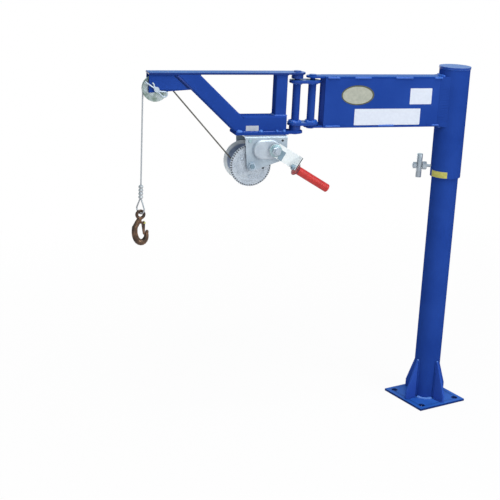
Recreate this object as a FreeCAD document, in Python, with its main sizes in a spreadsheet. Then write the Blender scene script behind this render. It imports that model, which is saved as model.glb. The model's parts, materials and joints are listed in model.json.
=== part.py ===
import FreeCAD, Part
import math
import os
import re
import Sketcher

# Bolt-down jib crane: a post, a swivelling arm, a link with two vertical pins,
# and an outer jib with a hand winch, a sheave and a hook.
# Millimetres. Origin at the centre of the base plate's underside, post along +Z,
# arm and jib along -X. Distances along the arm are counted from the post's axis.

doc = FreeCAD.newDocument("jib_crane")
sheet = doc.addObject("Spreadsheet::Sheet", "sizes")

TABLE = [
    # fits
    ("pin_play", "0.05", "radial play of a pin in its hole"),
    ("skin", "0.3", "weld gap at a curved wall"),
    # base
    ("plate_side", "200", "side of the square base plate"),
    ("plate_thick", "8", "base plate thickness"),
    ("plate_angle", "15", "turn of the base plate against the arm, degrees"),
    ("bolt_spacing", "150", "bolt spacing along a side of the base plate"),
    ("bolt_hole_dia", "18", "bolt hole diameter"),
    ("post_dia", "88.9", "post outside diameter"),
    ("post_wall", "5.5", "post wall"),
    ("gusset_thick", "8", "base gusset thickness"),
    ("gusset_angle", "20", "turn of the gussets against the arm, degrees"),
    ("gusset_reach", "93", "gusset foot, from the post axis"),
    ("gusset_lip", "33", "height of the gusset's outer corner"),
    ("gusset_top", "146", "height of the gusset's top"),
    ("gusset_nose", "5", "flat at the gusset's top"),
    ("gusset_root", "=post_dia / 2 + skin", "gusset edge at the post"),
    ("gusset_crest", "=gusset_root + gusset_nose", "outer end of the gusset's top"),
    # sleeve
    ("sleeve_dia", "101.6", "sleeve outside diameter"),
    ("sleeve_bore", "90.1", "sleeve inside diameter"),
    ("sleeve_low", "805", "sleeve's lower rim"),
    ("sleeve_length", "363", "sleeve length"),
    ("sleeve_top", "=sleeve_low + sleeve_length", "sleeve's upper rim"),
    ("cap_dia", "105", "cap diameter"),
    ("cap_thick", "6.5", "cap thickness"),
    ("cap_gap", "1", "gap between post and cap"),
    ("post_length", "=sleeve_top - cap_gap - plate_thick", "post length"),
    # arm
    ("arm_width", "50.8", "arm width"),
    ("arm_plate", "6.35", "arm plate thickness"),
    ("arm_drop", "189.5", "arm underside below the sleeve's upper rim"),
    ("arm_low", "=sleeve_top - arm_drop", "arm underside"),
    ("arm_side_height", "152.4", "height of an arm side plate"),
    ("arm_end", "461", "free end of the arm's side plates"),
    ("end_inset", "3", "arm's end plate behind the ends of the side plates"),
    ("arm_side_low", "=arm_low + arm_plate", "lower edge of an arm side plate"),
    ("arm_lid_low", "=arm_side_low + arm_side_height", "underside of the arm's top plate"),
    ("arm_top", "=arm_lid_low + arm_plate", "arm top"),
    ("lug_radius", "21.5", "rounded end of the arm's two hinge lugs"),
    # hinge
    ("pin_dia", "16", "hinge pin diameter"),
    ("pin_head_dia", "24", "hinge pin head diameter"),
    ("pin_head", "3.5", "hinge pin head thickness"),
    ("pin_out", "35", "hinge pin past the ends of the arm's side plates"),
    ("arm_pin", "=arm_end + pin_out", "hinge pin at the arm"),
    ("pin_spacing", "52", "distance between the two hinge pins"),
    ("jib_pin", "=arm_pin + pin_spacing", "hinge pin at the jib"),
    ("pin_bore", "=pin_dia + 2 * pin_play", "hole for a hinge pin"),
    ("link_radius", "=arm_width / 2", "rounded ends of the link plates"),
    ("link_plate", "9.5", "link plate thickness"),
    ("link_seat", "1.15", "gap between the link and the arm's lower lug"),
    ("link_clear", "7.25", "gap between the link and the arm's upper lug"),
    ("link_low", "=arm_side_low + link_seat", "underside of the link"),
    ("link_top", "=arm_lid_low - link_clear", "top of the link"),
    ("barrel_dia", "25.4", "outside diameter of a link barrel"),
    ("barrel_low", "=link_low + link_plate", "lower end of a barrel"),
    ("barrel_length", "=link_top - link_plate - barrel_low", "barrel length"),
    ("collar_dia", "38", "collar on the jib's hinge pin"),
    ("collar_gap", "5", "gap between the upper collar and the link"),
    ("seat_gap", "1.2", "gap between the lower collar and the link"),
    # clamp
    ("clamp_rise", "33", "clamp screw above the sleeve's lower rim"),
    ("clamp_height", "=sleeve_low + clamp_rise", "height of the clamp screw"),
    ("clamp_turn", "165", "direction of the clamp screw, degrees"),
    ("clamp_tip", "46", "inner end of the screw, from the post axis"),
    ("clamp_end", "114", "outer end of the screw"),
    ("clamp_dia", "9.5", "clamp screw diameter"),
    ("clamp_nut_across", "24", "inner nut, across flats"),
    ("clamp_nut_start", "66.5", "inner nut, from the post axis"),
    ("clamp_nut", "13.5", "inner nut thickness"),
    ("clamp_lock_across", "19", "outer nut, across flats"),
    ("clamp_lock_start", "101", "outer nut, from the post axis"),
    ("clamp_lock", "11", "outer nut thickness"),
    ("clamp_bar_dia", "19", "cross bar diameter"),
    ("clamp_bar_length", "80", "cross bar length"),
    ("clamp_bar_place", "90.5", "cross bar, from the post axis"),
    # jib frame
    ("flange_width", "=arm_width", "jib top flange width"),
    ("flange_thick", "6.35", "jib top flange thickness"),
    ("flange_rise", "18.5", "gap between the link and the jib's top flange"),
    ("flange_low", "=link_top + flange_rise", "underside of the jib's top flange"),
    ("jib_length", "483", "jib length from its hinge pin"),
    ("flange_left", "=jib_pin + jib_length", "far end of the top flange"),
    ("foot_thick", "8", "jib bottom plate thickness"),
    ("foot_sink", "17.5", "gap between the link and the jib's bottom plate"),
    ("foot_top", "=link_low - foot_sink", "upper face of the jib's bottom plate"),
    ("foot_width", "70", "jib bottom plate width"),
    ("foot_gap", "30", "jib's hinge pin to the bottom plate's wide part"),
    ("foot_right", "=jib_pin + foot_gap", "near end of the bottom plate's wide part"),
    ("foot_low", "=foot_top - foot_thick", "underside of the bottom plate"),
    ("tube_side", "50.8", "side of the diagonal and bottom tubes"),
    ("tube_wall", "4.8", "wall of the diagonal and bottom tubes"),
    ("tube_corner", "6", "rounded corners of those tubes"),
    ("upright_side", "38.1", "side of the upright tube"),
    ("upright_wall", "3.2", "wall of the upright tube"),
    ("upright_corner", "4", "rounded corners of the upright tube"),
    ("upright_gap", "6.6", "upright tube behind the near end of the bottom plate's wide part"),
    ("upright_right", "=foot_right + upright_gap", "near face of the upright tube"),
    ("diag_angle", "43", "slope of the diagonal, degrees"),
    ("head_length", "85.7", "top flange past the diagonal tube"),
    ("diag_left", "=flange_left - head_length", "far corner of the diagonal at the flange"),
    ("tube_top", "=foot_top + tube_side", "top of the bottom tube"),
    ("diag_step", "=tube_side / sin(diag_angle)", "length of the diagonal's level cut"),
    ("diag_run", "=(flange_low - foot_top) / tan(diag_angle)", "run of the diagonal"),
    ("diag_right", "=diag_left - diag_step", "near corner of the diagonal at the flange"),
    ("diag_foot_left", "=diag_left - diag_run", "far corner of the diagonal at the plate"),
    ("foot_lip", "1.3", "bottom plate past the foot of the diagonal"),
    ("foot_left", "=diag_foot_left + foot_lip", "far end of the bottom plate"),
    ("diag_foot_right", "=diag_right - diag_run", "near corner of the diagonal at the plate"),
    ("mitre_top", "=diag_right - (flange_low - tube_top) / tan(diag_angle)",
     "top corner of the bottom tube's mitre"),
    ("wall_step", "=tube_wall / sin(diag_angle)", "level cut of the diagonal's wall"),
    ("hollow_over", "2", "overrun of a hollow past its open end"),
    ("hollow_shift", "=hollow_over / tan(diag_angle)", "sideways shift of that overrun"),
    ("bore_high", "=flange_low + hollow_over", "upper end of the diagonal's hollow"),
    ("bore_deep", "=foot_top - hollow_over", "lower end of the diagonal's hollow"),
    ("bore_top_left", "=diag_left - wall_step + hollow_shift", "diagonal's hollow"),
    ("bore_top_right", "=diag_right + wall_step + hollow_shift", "diagonal's hollow"),
    ("bore_foot_left", "=diag_foot_left - wall_step - hollow_shift", "diagonal's hollow"),
    ("bore_foot_right", "=diag_foot_right + wall_step - hollow_shift", "diagonal's hollow"),
    ("duct_low", "=foot_top + tube_wall", "bottom tube's hollow"),
    ("duct_high", "=tube_top - tube_wall", "bottom tube's hollow"),
    ("duct_right", "=upright_right - hollow_over", "bottom tube's hollow"),
    ("duct_left", "=mitre_top + hollow_over", "bottom tube's hollow"),
    # head
    ("cheek_thick", "6.35", "cheek plate thickness"),
    ("cheek_inner", "14.3", "inner face of a cheek, from the middle plane"),
    ("cheek_outer", "=cheek_inner + cheek_thick", "outer face of a cheek"),
    ("cheek_inset", "1", "cheek behind the flange's far end"),
    ("cheek_left", "=flange_left - cheek_inset", "far edge of a cheek"),
    ("cheek_far", "55.5", "depth of a cheek at its far edge"),
    ("cheek_near", "46.5", "depth of a cheek at the diagonal"),
    ("cheek_low", "=flange_low - cheek_far", "lower far corner of a cheek"),
    ("cheek_high", "=flange_low - cheek_near", "lower near corner of a cheek"),
    ("cheek_right", "=diag_left - (flange_low - cheek_high) / tan(diag_angle)",
     "near corner of a cheek"),
    ("sheave_inset", "24", "sheave centre behind the flange's far end"),
    ("sheave_place", "=flange_left - sheave_inset", "sheave centre along the jib"),
    ("sheave_dia", "80", "sheave diameter"),
    ("sheave_clear", "5", "gap between the sheave and the top flange"),
    ("sheave_height", "=flange_low - sheave_clear - sheave_dia / 2", "sheave centre height"),
    ("sheave_width", "18.6", "sheave width"),
    ("sheave_rim", "=sheave_dia / 2", "sheave's outer edge"),
    ("sheave_side", "=sheave_width / 2", "sheave's side face, from the middle plane"),
    ("groove_mouth", "6.5", "half width of the groove at the sheave's edge"),
    ("groove_floor", "2.9", "half width of the groove's floor"),
    ("groove_deep", "5.2", "depth of the groove"),
    ("groove_root", "=sheave_rim - groove_deep", "radius of the groove's floor"),
    ("axle_dia", "16", "sheave axle diameter"),
    ("sheave_hole", "=axle_dia / 2 + pin_play", "radius of the sheave's bore"),
    ("axle_out", "29", "front end of the sheave axle"),
    ("axle_head_dia", "24", "sheave axle head diameter"),
    ("axle_head", "5", "sheave axle head thickness"),
    # rope
    ("rope_dia", "4.8", "wire rope diameter"),
    ("rope_seat", "0.4", "gap between the rope and the groove's floor"),
    ("rope_turn", "=groove_root + rope_seat + rope_dia / 2", "rope centre line on the sheave"),
    ("rope_lead", "30", "rope centre line on the drum"),
    ("fall_place", "=sheave_place + rope_turn", "hanging rope along the jib"),
    # winch
    ("winch_reach", "155.6", "drum axis from the jib's hinge pin"),
    ("drum_place", "=jib_pin + winch_reach", "drum axis along the jib"),
    ("drum_drop", "94", "drum axis below the bottom plate"),
    ("drum_height", "=foot_low - drum_drop", "drum axis height"),
    ("gear_module", "2.5", "gear module"),
    ("gear_teeth", "52", "teeth on the drum gear"),
    ("pinion_teeth", "18", "teeth on the crank pinion"),
    ("gear_slack", "0.25", "play taken off each tooth flank"),
    ("gear_reach", "=gear_module * (gear_teeth + pinion_teeth) / 2", "gear centre distance"),
    ("gear_rise", "36.5", "direction from drum axis to crank axis, degrees"),
    ("crank_place", "=drum_place - gear_reach * cos(gear_rise)", "crank axis along the jib"),
    ("crank_height", "=drum_height + gear_reach * sin(gear_rise)", "crank axis height"),
    ("gear_front", "46", "front face of the drum gear"),
    ("gear_thick", "7", "drum gear thickness"),
    ("gear_hole_dia", "7", "hole in the drum gear"),
    ("gear_hole_reach", "41.8", "that hole, from the drum axis"),
    ("gear_hole_turn", "-12.3", "that hole against the level, degrees"),
    ("drum_front", "=gear_front - gear_thick", "front end of the drum's core"),
    ("drum_core_dia", "40", "drum core diameter"),
    ("drum_core_length", "80", "drum core length"),
    ("drum_flange_dia", "128", "drum's rear flange diameter"),
    ("drum_flange_thick", "3", "drum's rear flange thickness"),
    ("drum_back", "=drum_core_length - drum_front", "rear end of the drum's core"),
    ("wrap_dia", "54.6", "outside of the rope wound on the drum"),
    ("wrap_margin", "2", "bare core at each end of the rope"),
    ("frame_front", "56", "front face of the winch frame"),
    ("frame_back", "54", "rear face of the winch frame"),
    ("frame_sheet", "4", "winch frame sheet"),
    ("frame_fold", "6", "outside radius of the frame's two folds"),
    ("frame_hole_dia", "8", "holes near the frame's folds"),
    ("frame_hole_drop", "14", "those holes below the bottom plate"),
    ("frame_hole_inset", "16", "those holes from the frame's ends"),
    ("frame_far", "24.4", "winch frame past the drum axis"),
    ("frame_near", "44.3", "winch frame past the crank axis"),
    ("frame_skirt", "20.5", "winch frame below the crank axis"),
    ("frame_bevel", "27.3", "start of the frame's lower bevel past the crank axis"),
    ("frame_belly", "15.5", "lower edge of the frame above the drum axis"),
    ("frame_left", "=drum_place + frame_far", "far top corner of the winch frame"),
    ("frame_right", "=crank_place - frame_near", "near top corner of the winch frame"),
    ("frame_drop", "=crank_height - frame_skirt", "near lower corner of the winch frame"),
    ("frame_toe", "=crank_place - frame_bevel", "lower edge of the winch frame, near end"),
    ("frame_toe_height", "=drum_height + frame_belly", "height of that end"),
    ("frame_nose_dia", "32", "rounded end of the frame at the drum axle"),
    ("frame_nose_left", "=drum_place + frame_nose_dia / 2", "far edge at the drum axle"),
    ("frame_nose_turn", "30", "slope of the frame's edge into that round end, degrees"),
    ("frame_nose_right", "=drum_place - frame_nose_dia / 2 * sin(frame_nose_turn)",
     "near edge at the drum axle"),
    ("frame_nose_low", "=drum_height - frame_nose_dia / 2 * cos(frame_nose_turn)",
     "lower edge at the drum axle"),
    ("frame_ceiling", "=foot_low - frame_sheet", "underside of the frame's top sheet"),
    ("drum_axle_dia", "14", "drum axle diameter"),
    ("drum_nut_across", "22", "drum axle nut, across flats"),
    ("drum_nut", "8", "drum axle nut thickness"),
    ("cover_rise", "10", "height of the raised cover"),
    ("cover_round", "7", "rounded edge of the raised cover"),
    ("cover_width", "64", "cover width"),
    ("cover_pitch", "28", "distance between the cover's two round ends"),
    ("cover_shift", "23.2", "middle of the cover past the crank axis"),
    ("cover_lift", "1", "middle of the cover above the crank axis"),
    ("cover_place", "=crank_place + cover_shift", "middle of the cover along the jib"),
    ("cover_height", "=crank_height + cover_lift", "middle of the cover, height"),
    # crank
    ("crank_angle", "31", "crank below the level at rest, degrees"),
    ("shaft_dia", "16", "crank shaft diameter"),
    ("shaft_front", "96", "front end of the crank shaft"),
    ("shaft_back", "60", "rear end of the crank shaft"),
    ("pinion_front", "47", "front face of the pinion"),
    ("pinion_thick", "9", "pinion thickness"),
    ("bar_front", "76", "front face of the crank bar"),
    ("bar_thick", "5", "crank bar thickness"),
    ("bar_hub_dia", "40", "rounded end of the crank bar"),
    ("bar_reach", "83", "outer face of the crank's tab"),
    ("bar_low", "20", "lower edge of the crank bar"),
    ("bar_high", "26", "upper edge of the crank bar"),
    ("tab_out", "102", "front edge of the crank's tab"),
    ("grip_out", "89", "grip axis, distance in front of the middle plane"),
    ("grip_low", "15", "grip axis below the crank's radius"),
    ("grip_flange", "21", "radius of the flange at the grip's root"),
    ("grip_collar", "15", "radius of the grip behind that flange"),
    ("grip_radius", "13.5", "grip radius"),
    ("grip_round", "3", "rounded end of the grip"),
    ("grip_length", "131", "grip length"),
    ("grip_rim", "3", "thickness of that flange's rim"),
    ("grip_cone", "6", "length of the taper behind the rim"),
    ("grip_edge", "=bar_reach + grip_rim", "outer edge of the flange along the crank"),
    ("grip_neck", "=grip_edge + grip_cone", "start of the grip's round bar"),
    ("grip_end", "=bar_reach + grip_length", "end of the grip"),
    # hook
    ("eye_height", "706", "hook eye centre height"),
    ("eye_radius", "11.5", "hook eye centre line radius"),
    ("eye_bar", "5", "hook eye bar radius"),
    ("loop_radius", "17.5", "rope loop centre line radius"),
    ("loop_turn", "-60", "turn of the rope loop against the hook, degrees"),
    ("loop_seat", "0.9", "play between the rope loop and the hook eye"),
    ("loop_height", "=eye_height + eye_radius - eye_bar - loop_seat - rope_dia / 2 + loop_radius",
     "rope loop centre height"),
    ("loop_rise", "30.3", "ferrule above the rope loop's centre"),
    ("ferrule_dia", "12", "rope ferrule diameter"),
    ("ferrule_length", "44", "rope ferrule length"),
    ("ferrule_low", "=loop_height + loop_rise", "lower end of the ferrule"),
    ("fall_low", "=ferrule_low + ferrule_length", "lower end of the hanging rope"),
    ("bowl_step", "4.2", "middle of the hook's bowl in front of the rope's line"),
    ("bowl_below", "51", "middle of the hook's bowl below the eye's centre"),
    ("bowl_height", "=eye_height - bowl_below", "middle of the hook's bowl, height"),
    ("bowl_gap", "12.4", "half of the bowl's inside width"),
    ("bowl_drop", "29.3", "inside depth of the bowl below its middle"),
    ("bowl_start", "165", "where the bowl begins at the hook's back, degrees"),
    ("bowl_end", "345", "where the bowl ends at the hook's tip, degrees"),
    ("back_bar", "9.3", "bar radius at the hook's back"),
    ("bowl_bar", "10.4", "bar radius at the bottom of the bowl"),
    ("tip_bar", "5.6", "bar radius at the hook's tip"),
    ("tip_length", "4", "straight end of the hook before the tip's rounding"),
    ("neck_bar", "8", "bar radius at the hook's neck"),
    ("neck_step", "-1.5", "upper end of the neck in front of the rope's line"),
    ("neck_below", "12", "upper end of the neck below the eye's centre"),
    ("neck_height", "=eye_height - neck_below", "upper end of the neck"),
    ("ear_bar", "3.8", "radius of the ear that holds the latch"),
    ("ear_root", "6", "inner end of that ear, behind the rope's line"),
    ("ear_tip", "10.3", "outer end of that ear"),
    ("latch_below", "26", "latch pivot below the eye's centre"),
    ("latch_height", "=eye_height - latch_below", "latch pivot height"),
    ("lug_bar", "6", "radius of the lug at the ear's root"),
    ("lug_tip", "3", "outer end of that lug"),
    ("lug_rise", "4", "lug above the latch pivot"),
    ("lug_height", "=latch_height + lug_rise", "height of the lug"),
    ("latch_length", "40", "latch length"),
    ("latch_width", "14", "latch width"),
    ("latch_thick", "2.4", "latch thickness"),
    ("latch_deep", "9", "depth of the latch's sides at the pivot"),
    ("latch_shallow", "2.6", "depth of the latch's sides at the free end"),
    ("latch_step", "=ear_tip + latch_thick + skin", "latch pivot in front of the rope's line"),
    ("latch_tilt", "0", "tilt of the latch at rest, degrees"),
]
for row, (alias, value, note) in enumerate(TABLE, start=1):
    sheet.set("A%d" % row, note)
    sheet.set("B%d" % row, value)
    sheet.setAlias("B%d" % row, alias)
doc.recompute()
ALIASES = {entry[0] for entry in TABLE}
UP = FreeCAD.Vector(0, 0, 1)
ACROSS = FreeCAD.Vector(0, 1, 0)
ALONG = FreeCAD.Vector(1, 0, 0)
QUARTER = 90
TURNS = {
    "x": FreeCAD.Rotation(ACROSS, QUARTER),
    "y": FreeCAD.Rotation(ALONG, -QUARTER),
    "z": FreeCAD.Rotation(),
}
NODES = []


def size(name):
    """Value of one size; a leading minus sign is kept."""
    value = float(sheet.get(name.lstrip("-"))) if name != "0" else 0.0
    return -value if name.startswith("-") else value


def bind(item, prop, text):
    """Tie a property to an expression in the sheet's sizes."""
    def link(match):
        word = match.group()
        return "sizes." + word if word in ALIASES else word
    item.setExpression(prop, re.sub(r"[a-z][a-z_0-9]*", link, text))


def place(item, spot):
    for letter, text in zip("xyz", spot):
        bind(item, "Placement.Base." + letter, text)


def box(name, lengths, corner):
    item = doc.addObject("Part::Box", name)
    for prop, text in zip(("Length", "Width", "Height"), lengths):
        bind(item, prop, text)
    place(item, corner)
    return item


def rod(name, dia, length, start, axis="z"):
    item = doc.addObject("Part::Cylinder", name)
    bind(item, "Radius", "(%s) / 2" % dia)
    bind(item, "Height", length)
    item.Placement = FreeCAD.Placement(FreeCAD.Vector(), TURNS[axis])
    place(item, start)
    return item


def joined(name, items):
    item = doc.addObject("Part::MultiFuse", name)
    item.Shapes = items
    item.Refine = True
    return item


def cut(name, base, tools):
    item = doc.addObject("Part::Cut", name)
    item.Base = base
    item.Tool = tools[0] if len(tools) == 1 else joined(name + "_tool", tools)
    item.Refine = True
    return item


def outline(body, name, role, corners):
    """Closed sketch on one of the body's planes, every corner tied to the sheet."""
    sketch = body.newObject("Sketcher::SketchObject", name)
    plane = [p for p in body.Origin.OriginFeatures if p.Role == role][0]
    sketch.AttachmentSupport = [(plane, "")]
    sketch.MapMode = "FlatFace"
    spots = [FreeCAD.Vector(size(x), size(y), 0) for x, y in corners]
    count = len(spots)
    for i in range(count):
        sketch.addGeometry(Part.LineSegment(spots[i], spots[(i + 1) % count]))
    for i in range(count):
        sketch.addConstraint(Sketcher.Constraint("Coincident", i, 2, (i + 1) % count, 1))
    for i, (x, y) in enumerate(corners):
        for kind, text, value in (("DistanceX", x, spots[i].x), ("DistanceY", y, spots[i].y)):
            number = sketch.addConstraint(Sketcher.Constraint(kind, -1, 1, i, 1, value))
            if text != "0":
                bind(sketch, "Constraints[%d]" % number, text)
    return sketch


def slab(name, role, corners, thick, offset="0"):
    """Padded outline; on the XZ plane it grows from y = -offset toward -Y."""
    body = doc.addObject("PartDesign::Body", name)
    sketch = outline(body, name + "_outline", role, corners)
    if offset != "0":
        bind(sketch, "AttachmentOffset.Base.z", offset)
    pad = body.newObject("PartDesign::Pad", name + "_pad")
    pad.Profile = sketch
    bind(pad, "Length", thick)
    return body


def spun(name, role, axis, corners):
    """Outline turned round one of its own two axes."""
    body = doc.addObject("PartDesign::Body", name)
    sketch = outline(body, name + "_outline", role, corners)
    turn = body.newObject("PartDesign::Revolution", name + "_turn")
    turn.Profile = sketch
    turn.ReferenceAxis = (sketch, [axis])
    turn.Angle = 4 * QUARTER
    return body


def hexagon(name, across, length, start, axis):
    """Hexagonal nut or head along an axis."""
    item = doc.addObject("Part::Prism", name)
    item.Polygon = 6
    bind(item, "Circumradius", "%s / sqrt(3)" % across)
    bind(item, "Height", length)
    item.Placement = FreeCAD.Placement(FreeCAD.Vector(), TURNS[axis])
    place(item, start)
    return item


def eased(name, base, radius, chosen):
    """Base with the edges rounded that chosen() picks."""
    doc.recompute()
    numbers = [number for number, edge in enumerate(base.Shape.Edges, start=1) if chosen(edge)]
    if base.isDerivedFrom("PartDesign::Body"):
        last = base.Tip
        item = base.newObject("PartDesign::Fillet", name)
        item.Base = (last, ["Edge%d" % number for number in numbers])
        bind(item, "Radius", radius)
        return base
    item = doc.addObject("Part::Fillet", name)
    item.Base = base
    item.Edges = [(number, size(radius), size(radius)) for number in numbers]
    return item


def lengthwise(direction):
    """Picks the edges that run in a direction."""
    def chosen(edge):
        if not isinstance(edge.Curve, Part.Line):
            return False
        return abs(edge.tangentAt(edge.FirstParameter).dot(direction)) > 0.999
    return chosen


def node(item, label):
    item.Label = label
    NODES.append((item, label))
    return item


def turned(item, axis, degrees, spot=None):
    item.Placement = FreeCAD.Placement(spot or FreeCAD.Vector(), FreeCAD.Rotation(axis, degrees))
    return item


# Base plate, post and gussets
plate = box("plate_blank", ("plate_side", "plate_side", "plate_thick"),
            ("-plate_side / 2", "-plate_side / 2", "0"))
plate_holes = [
    rod("plate_hole_%d%d" % (i, j), "bolt_hole_dia", "plate_thick",
        ("%s bolt_spacing / 2" % side, "%s bolt_spacing / 2" % end, "0"))
    for i, side in enumerate(("-", "0 +")) for j, end in enumerate(("-", "0 +"))]
base_plate = node(cut("base_plate", plate, plate_holes), "base_plate")
turned(base_plate, UP, size("plate_angle"))

node(cut("post_tube",
         rod("post_outside", "post_dia", "post_length", ("0", "0", "plate_thick")),
         [rod("post_inside", "post_dia - 2 * post_wall", "post_length", ("0", "0", "plate_thick"))]),
     "post_tube")

for quarter, side in enumerate(("right", "back", "left", "front")):
    gusset = slab("gusset_" + side, "XZ_Plane",
                  [("gusset_root", "plate_thick"), ("gusset_reach", "plate_thick"),
                   ("gusset_reach", "gusset_lip"), ("gusset_crest", "gusset_top"),
                   ("gusset_root", "gusset_top")], "gusset_thick", "-gusset_thick / 2")
    node(turned(gusset, UP, size("gusset_angle") + quarter * QUARTER), "base_gusset_" + side)

# Swivelling sleeve with its cap and the hole for the clamp screw
clamp_hole = doc.addObject("Part::Cylinder", "clamp_hole")
bind(clamp_hole, "Radius", "clamp_dia / 2 + skin")
bind(clamp_hole, "Height", "sleeve_dia")
clamp_hole.Placement = FreeCAD.Placement(
    FreeCAD.Vector(), FreeCAD.Rotation(UP, size("clamp_turn")).multiply(TURNS["x"]))
place(clamp_hole, ("0", "0", "clamp_height"))
node(cut("sleeve_tube",
         rod("sleeve_outside", "sleeve_dia", "sleeve_length", ("0", "0", "sleeve_low")),
         [rod("sleeve_inside", "sleeve_bore", "sleeve_length", ("0", "0", "sleeve_low")), clamp_hole]),
     "sleeve_tube")
node(rod("sleeve_cap", "cap_dia", "cap_thick", ("0", "0", "sleeve_top")), "sleeve_cap")


# Box arm: two lug plates and two side plates, coped to the sleeve
def cope(name):
    return rod(name, "sleeve_dia + 2 * skin", "arm_top", ("0", "0", "0"))


for label, low in (("arm_top_plate", "arm_lid_low"), ("arm_bottom_plate", "arm_low")):
    blank = joined(label + "_blank", [
        box(label + "_strap", ("arm_end", "arm_width", "arm_plate"), ("-arm_end", "-arm_width / 2", low)),
        box(label + "_lug", ("arm_pin - arm_end", "2 * lug_radius", "arm_plate"),
            ("-arm_pin", "-lug_radius", low)),
        rod(label + "_nose", "2 * lug_radius", "arm_plate", ("-arm_pin", "0", low))])
    node(cut(label, blank, [cope(label + "_cope"),
                            rod(label + "_hole", "pin_bore", "arm_plate", ("-arm_pin", "0", low))]), label)
for label, near in (("arm_front_plate", "-arm_width / 2"), ("arm_back_plate", "arm_width / 2 - arm_plate")):
    blank = box(label + "_blank", ("arm_end", "arm_plate", "arm_side_height"),
                ("-arm_end", near, "arm_side_low"))
    node(cut(label, blank, [cope(label + "_cope")]), label)
node(box("arm_end_plate", ("arm_plate", "arm_width - 2 * arm_plate", "arm_side_height"),
         ("end_inset - arm_end", "arm_plate - arm_width / 2", "arm_side_low")), "arm_end_plate")


def hinge_pin(label, spot, low, high):
    """Pin with a flat head at both ends, outside the two lugs."""
    return node(joined(label, [
        rod(label + "_stem", "pin_dia", "%s - %s" % (high, low), (spot, "0", low)),
        rod(label + "_foot", "pin_head_dia", "pin_head", (spot, "0", low + " - pin_head")),
        rod(label + "_crown", "pin_head_dia", "pin_head", (spot, "0", high))]), label)


hinge_pin("arm_hinge_pin", "-arm_pin", "arm_low", "arm_top")

# Clamp screw with two nuts and a cross bar, made along +X and turned to their place
clamp_spot = FreeCAD.Vector(0, 0, size("clamp_height"))
clamp_screw = joined("clamp_screw", [
    rod("clamp_rod", "clamp_dia", "clamp_end - clamp_tip", ("clamp_tip", "0", "0"), "x"),
    hexagon("clamp_inner_nut", "clamp_nut_across", "clamp_nut", ("clamp_nut_start", "0", "0"), "x"),
    hexagon("clamp_outer_nut", "clamp_lock_across", "clamp_lock", ("clamp_lock_start", "0", "0"), "x")])
node(turned(clamp_screw, UP, size("clamp_turn"), clamp_spot), "clamp_screw")
clamp_bar = cut("clamp_bar",
                rod("clamp_bar_blank", "clamp_bar_dia", "clamp_bar_length",
                    ("clamp_bar_place", "0", "-clamp_bar_length / 2")),
                [rod("clamp_bar_hole", "clamp_dia + 2 * pin_play", "2 * clamp_bar_dia",
                     ("clamp_bar_place - clamp_bar_dia", "0", "0"), "x")])
node(turned(clamp_bar, UP, size("clamp_turn"), clamp_spot), "clamp_bar")

# Link: two plates and two barrels
for label, low in (("link_top_plate", "link_top - link_plate"), ("link_bottom_plate", "link_low")):
    blank = joined(label + "_blank", [
        box(label + "_middle", ("pin_spacing", "2 * link_radius", "link_plate"),
            ("-jib_pin", "-link_radius", low)),
        rod(label + "_near", "2 * link_radius", "link_plate", ("-arm_pin", "0", low)),
        rod(label + "_far", "2 * link_radius", "link_plate", ("-jib_pin", "0", low))])
    node(cut(label, blank, [
        rod(label + "_near_hole", "pin_bore", "link_plate", ("-arm_pin", "0", low)),
        rod(label + "_far_hole", "pin_bore", "link_plate", ("-jib_pin", "0", low))]), label)
for label, spot in (("link_arm_barrel", "-arm_pin"), ("link_jib_barrel", "-jib_pin")):
    node(cut(label, rod(label + "_outside", "barrel_dia", "barrel_length", (spot, "0", "barrel_low")),
             [rod(label + "_bore", "pin_bore", "barrel_length", (spot, "0", "barrel_low"))]), label)

# Jib frame: top flange and bottom plate with their hinge lugs
flange_blank = joined("flange_blank", [
    box("flange_strap", ("flange_left - jib_pin", "flange_width", "flange_thick"),
        ("-flange_left", "-flange_width / 2", "flange_low")),
    rod("flange_nose", "flange_width", "flange_thick", ("-jib_pin", "0", "flange_low"))])
node(cut("jib_top_flange", flange_blank,
         [rod("flange_hole", "pin_bore", "flange_thick", ("-jib_pin", "0", "flange_low"))]),
     "jib_top_flange")
foot_blank = joined("foot_blank", [
    box("foot_wide", ("foot_left - foot_right", "foot_width", "foot_thick"),
        ("-foot_left", "-foot_width / 2", "foot_low")),
    box("foot_lug", ("foot_right - jib_pin", "flange_width", "foot_thick"),
        ("-foot_right", "-flange_width / 2", "foot_low")),
    rod("foot_nose", "flange_width", "foot_thick", ("-jib_pin", "0", "foot_low"))])
node(cut("jib_bottom_plate", foot_blank,
         [rod("foot_hole", "pin_bore", "foot_thick", ("-jib_pin", "0", "foot_low"))]),
     "jib_bottom_plate")
hinge_pin("jib_hinge_pin", "-jib_pin", "foot_low", "flange_low + flange_thick")
for label, low, length in (
        ("jib_upper_collar", "link_top + collar_gap", "flange_low - link_top - collar_gap"),
        ("jib_lower_collar", "foot_top", "link_low - seat_gap - foot_top")):
    node(cut(label, rod(label + "_outside", "collar_dia", length, ("-jib_pin", "0", low)),
             [rod(label + "_bore", "pin_bore", length, ("-jib_pin", "0", low))]), label)

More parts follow.
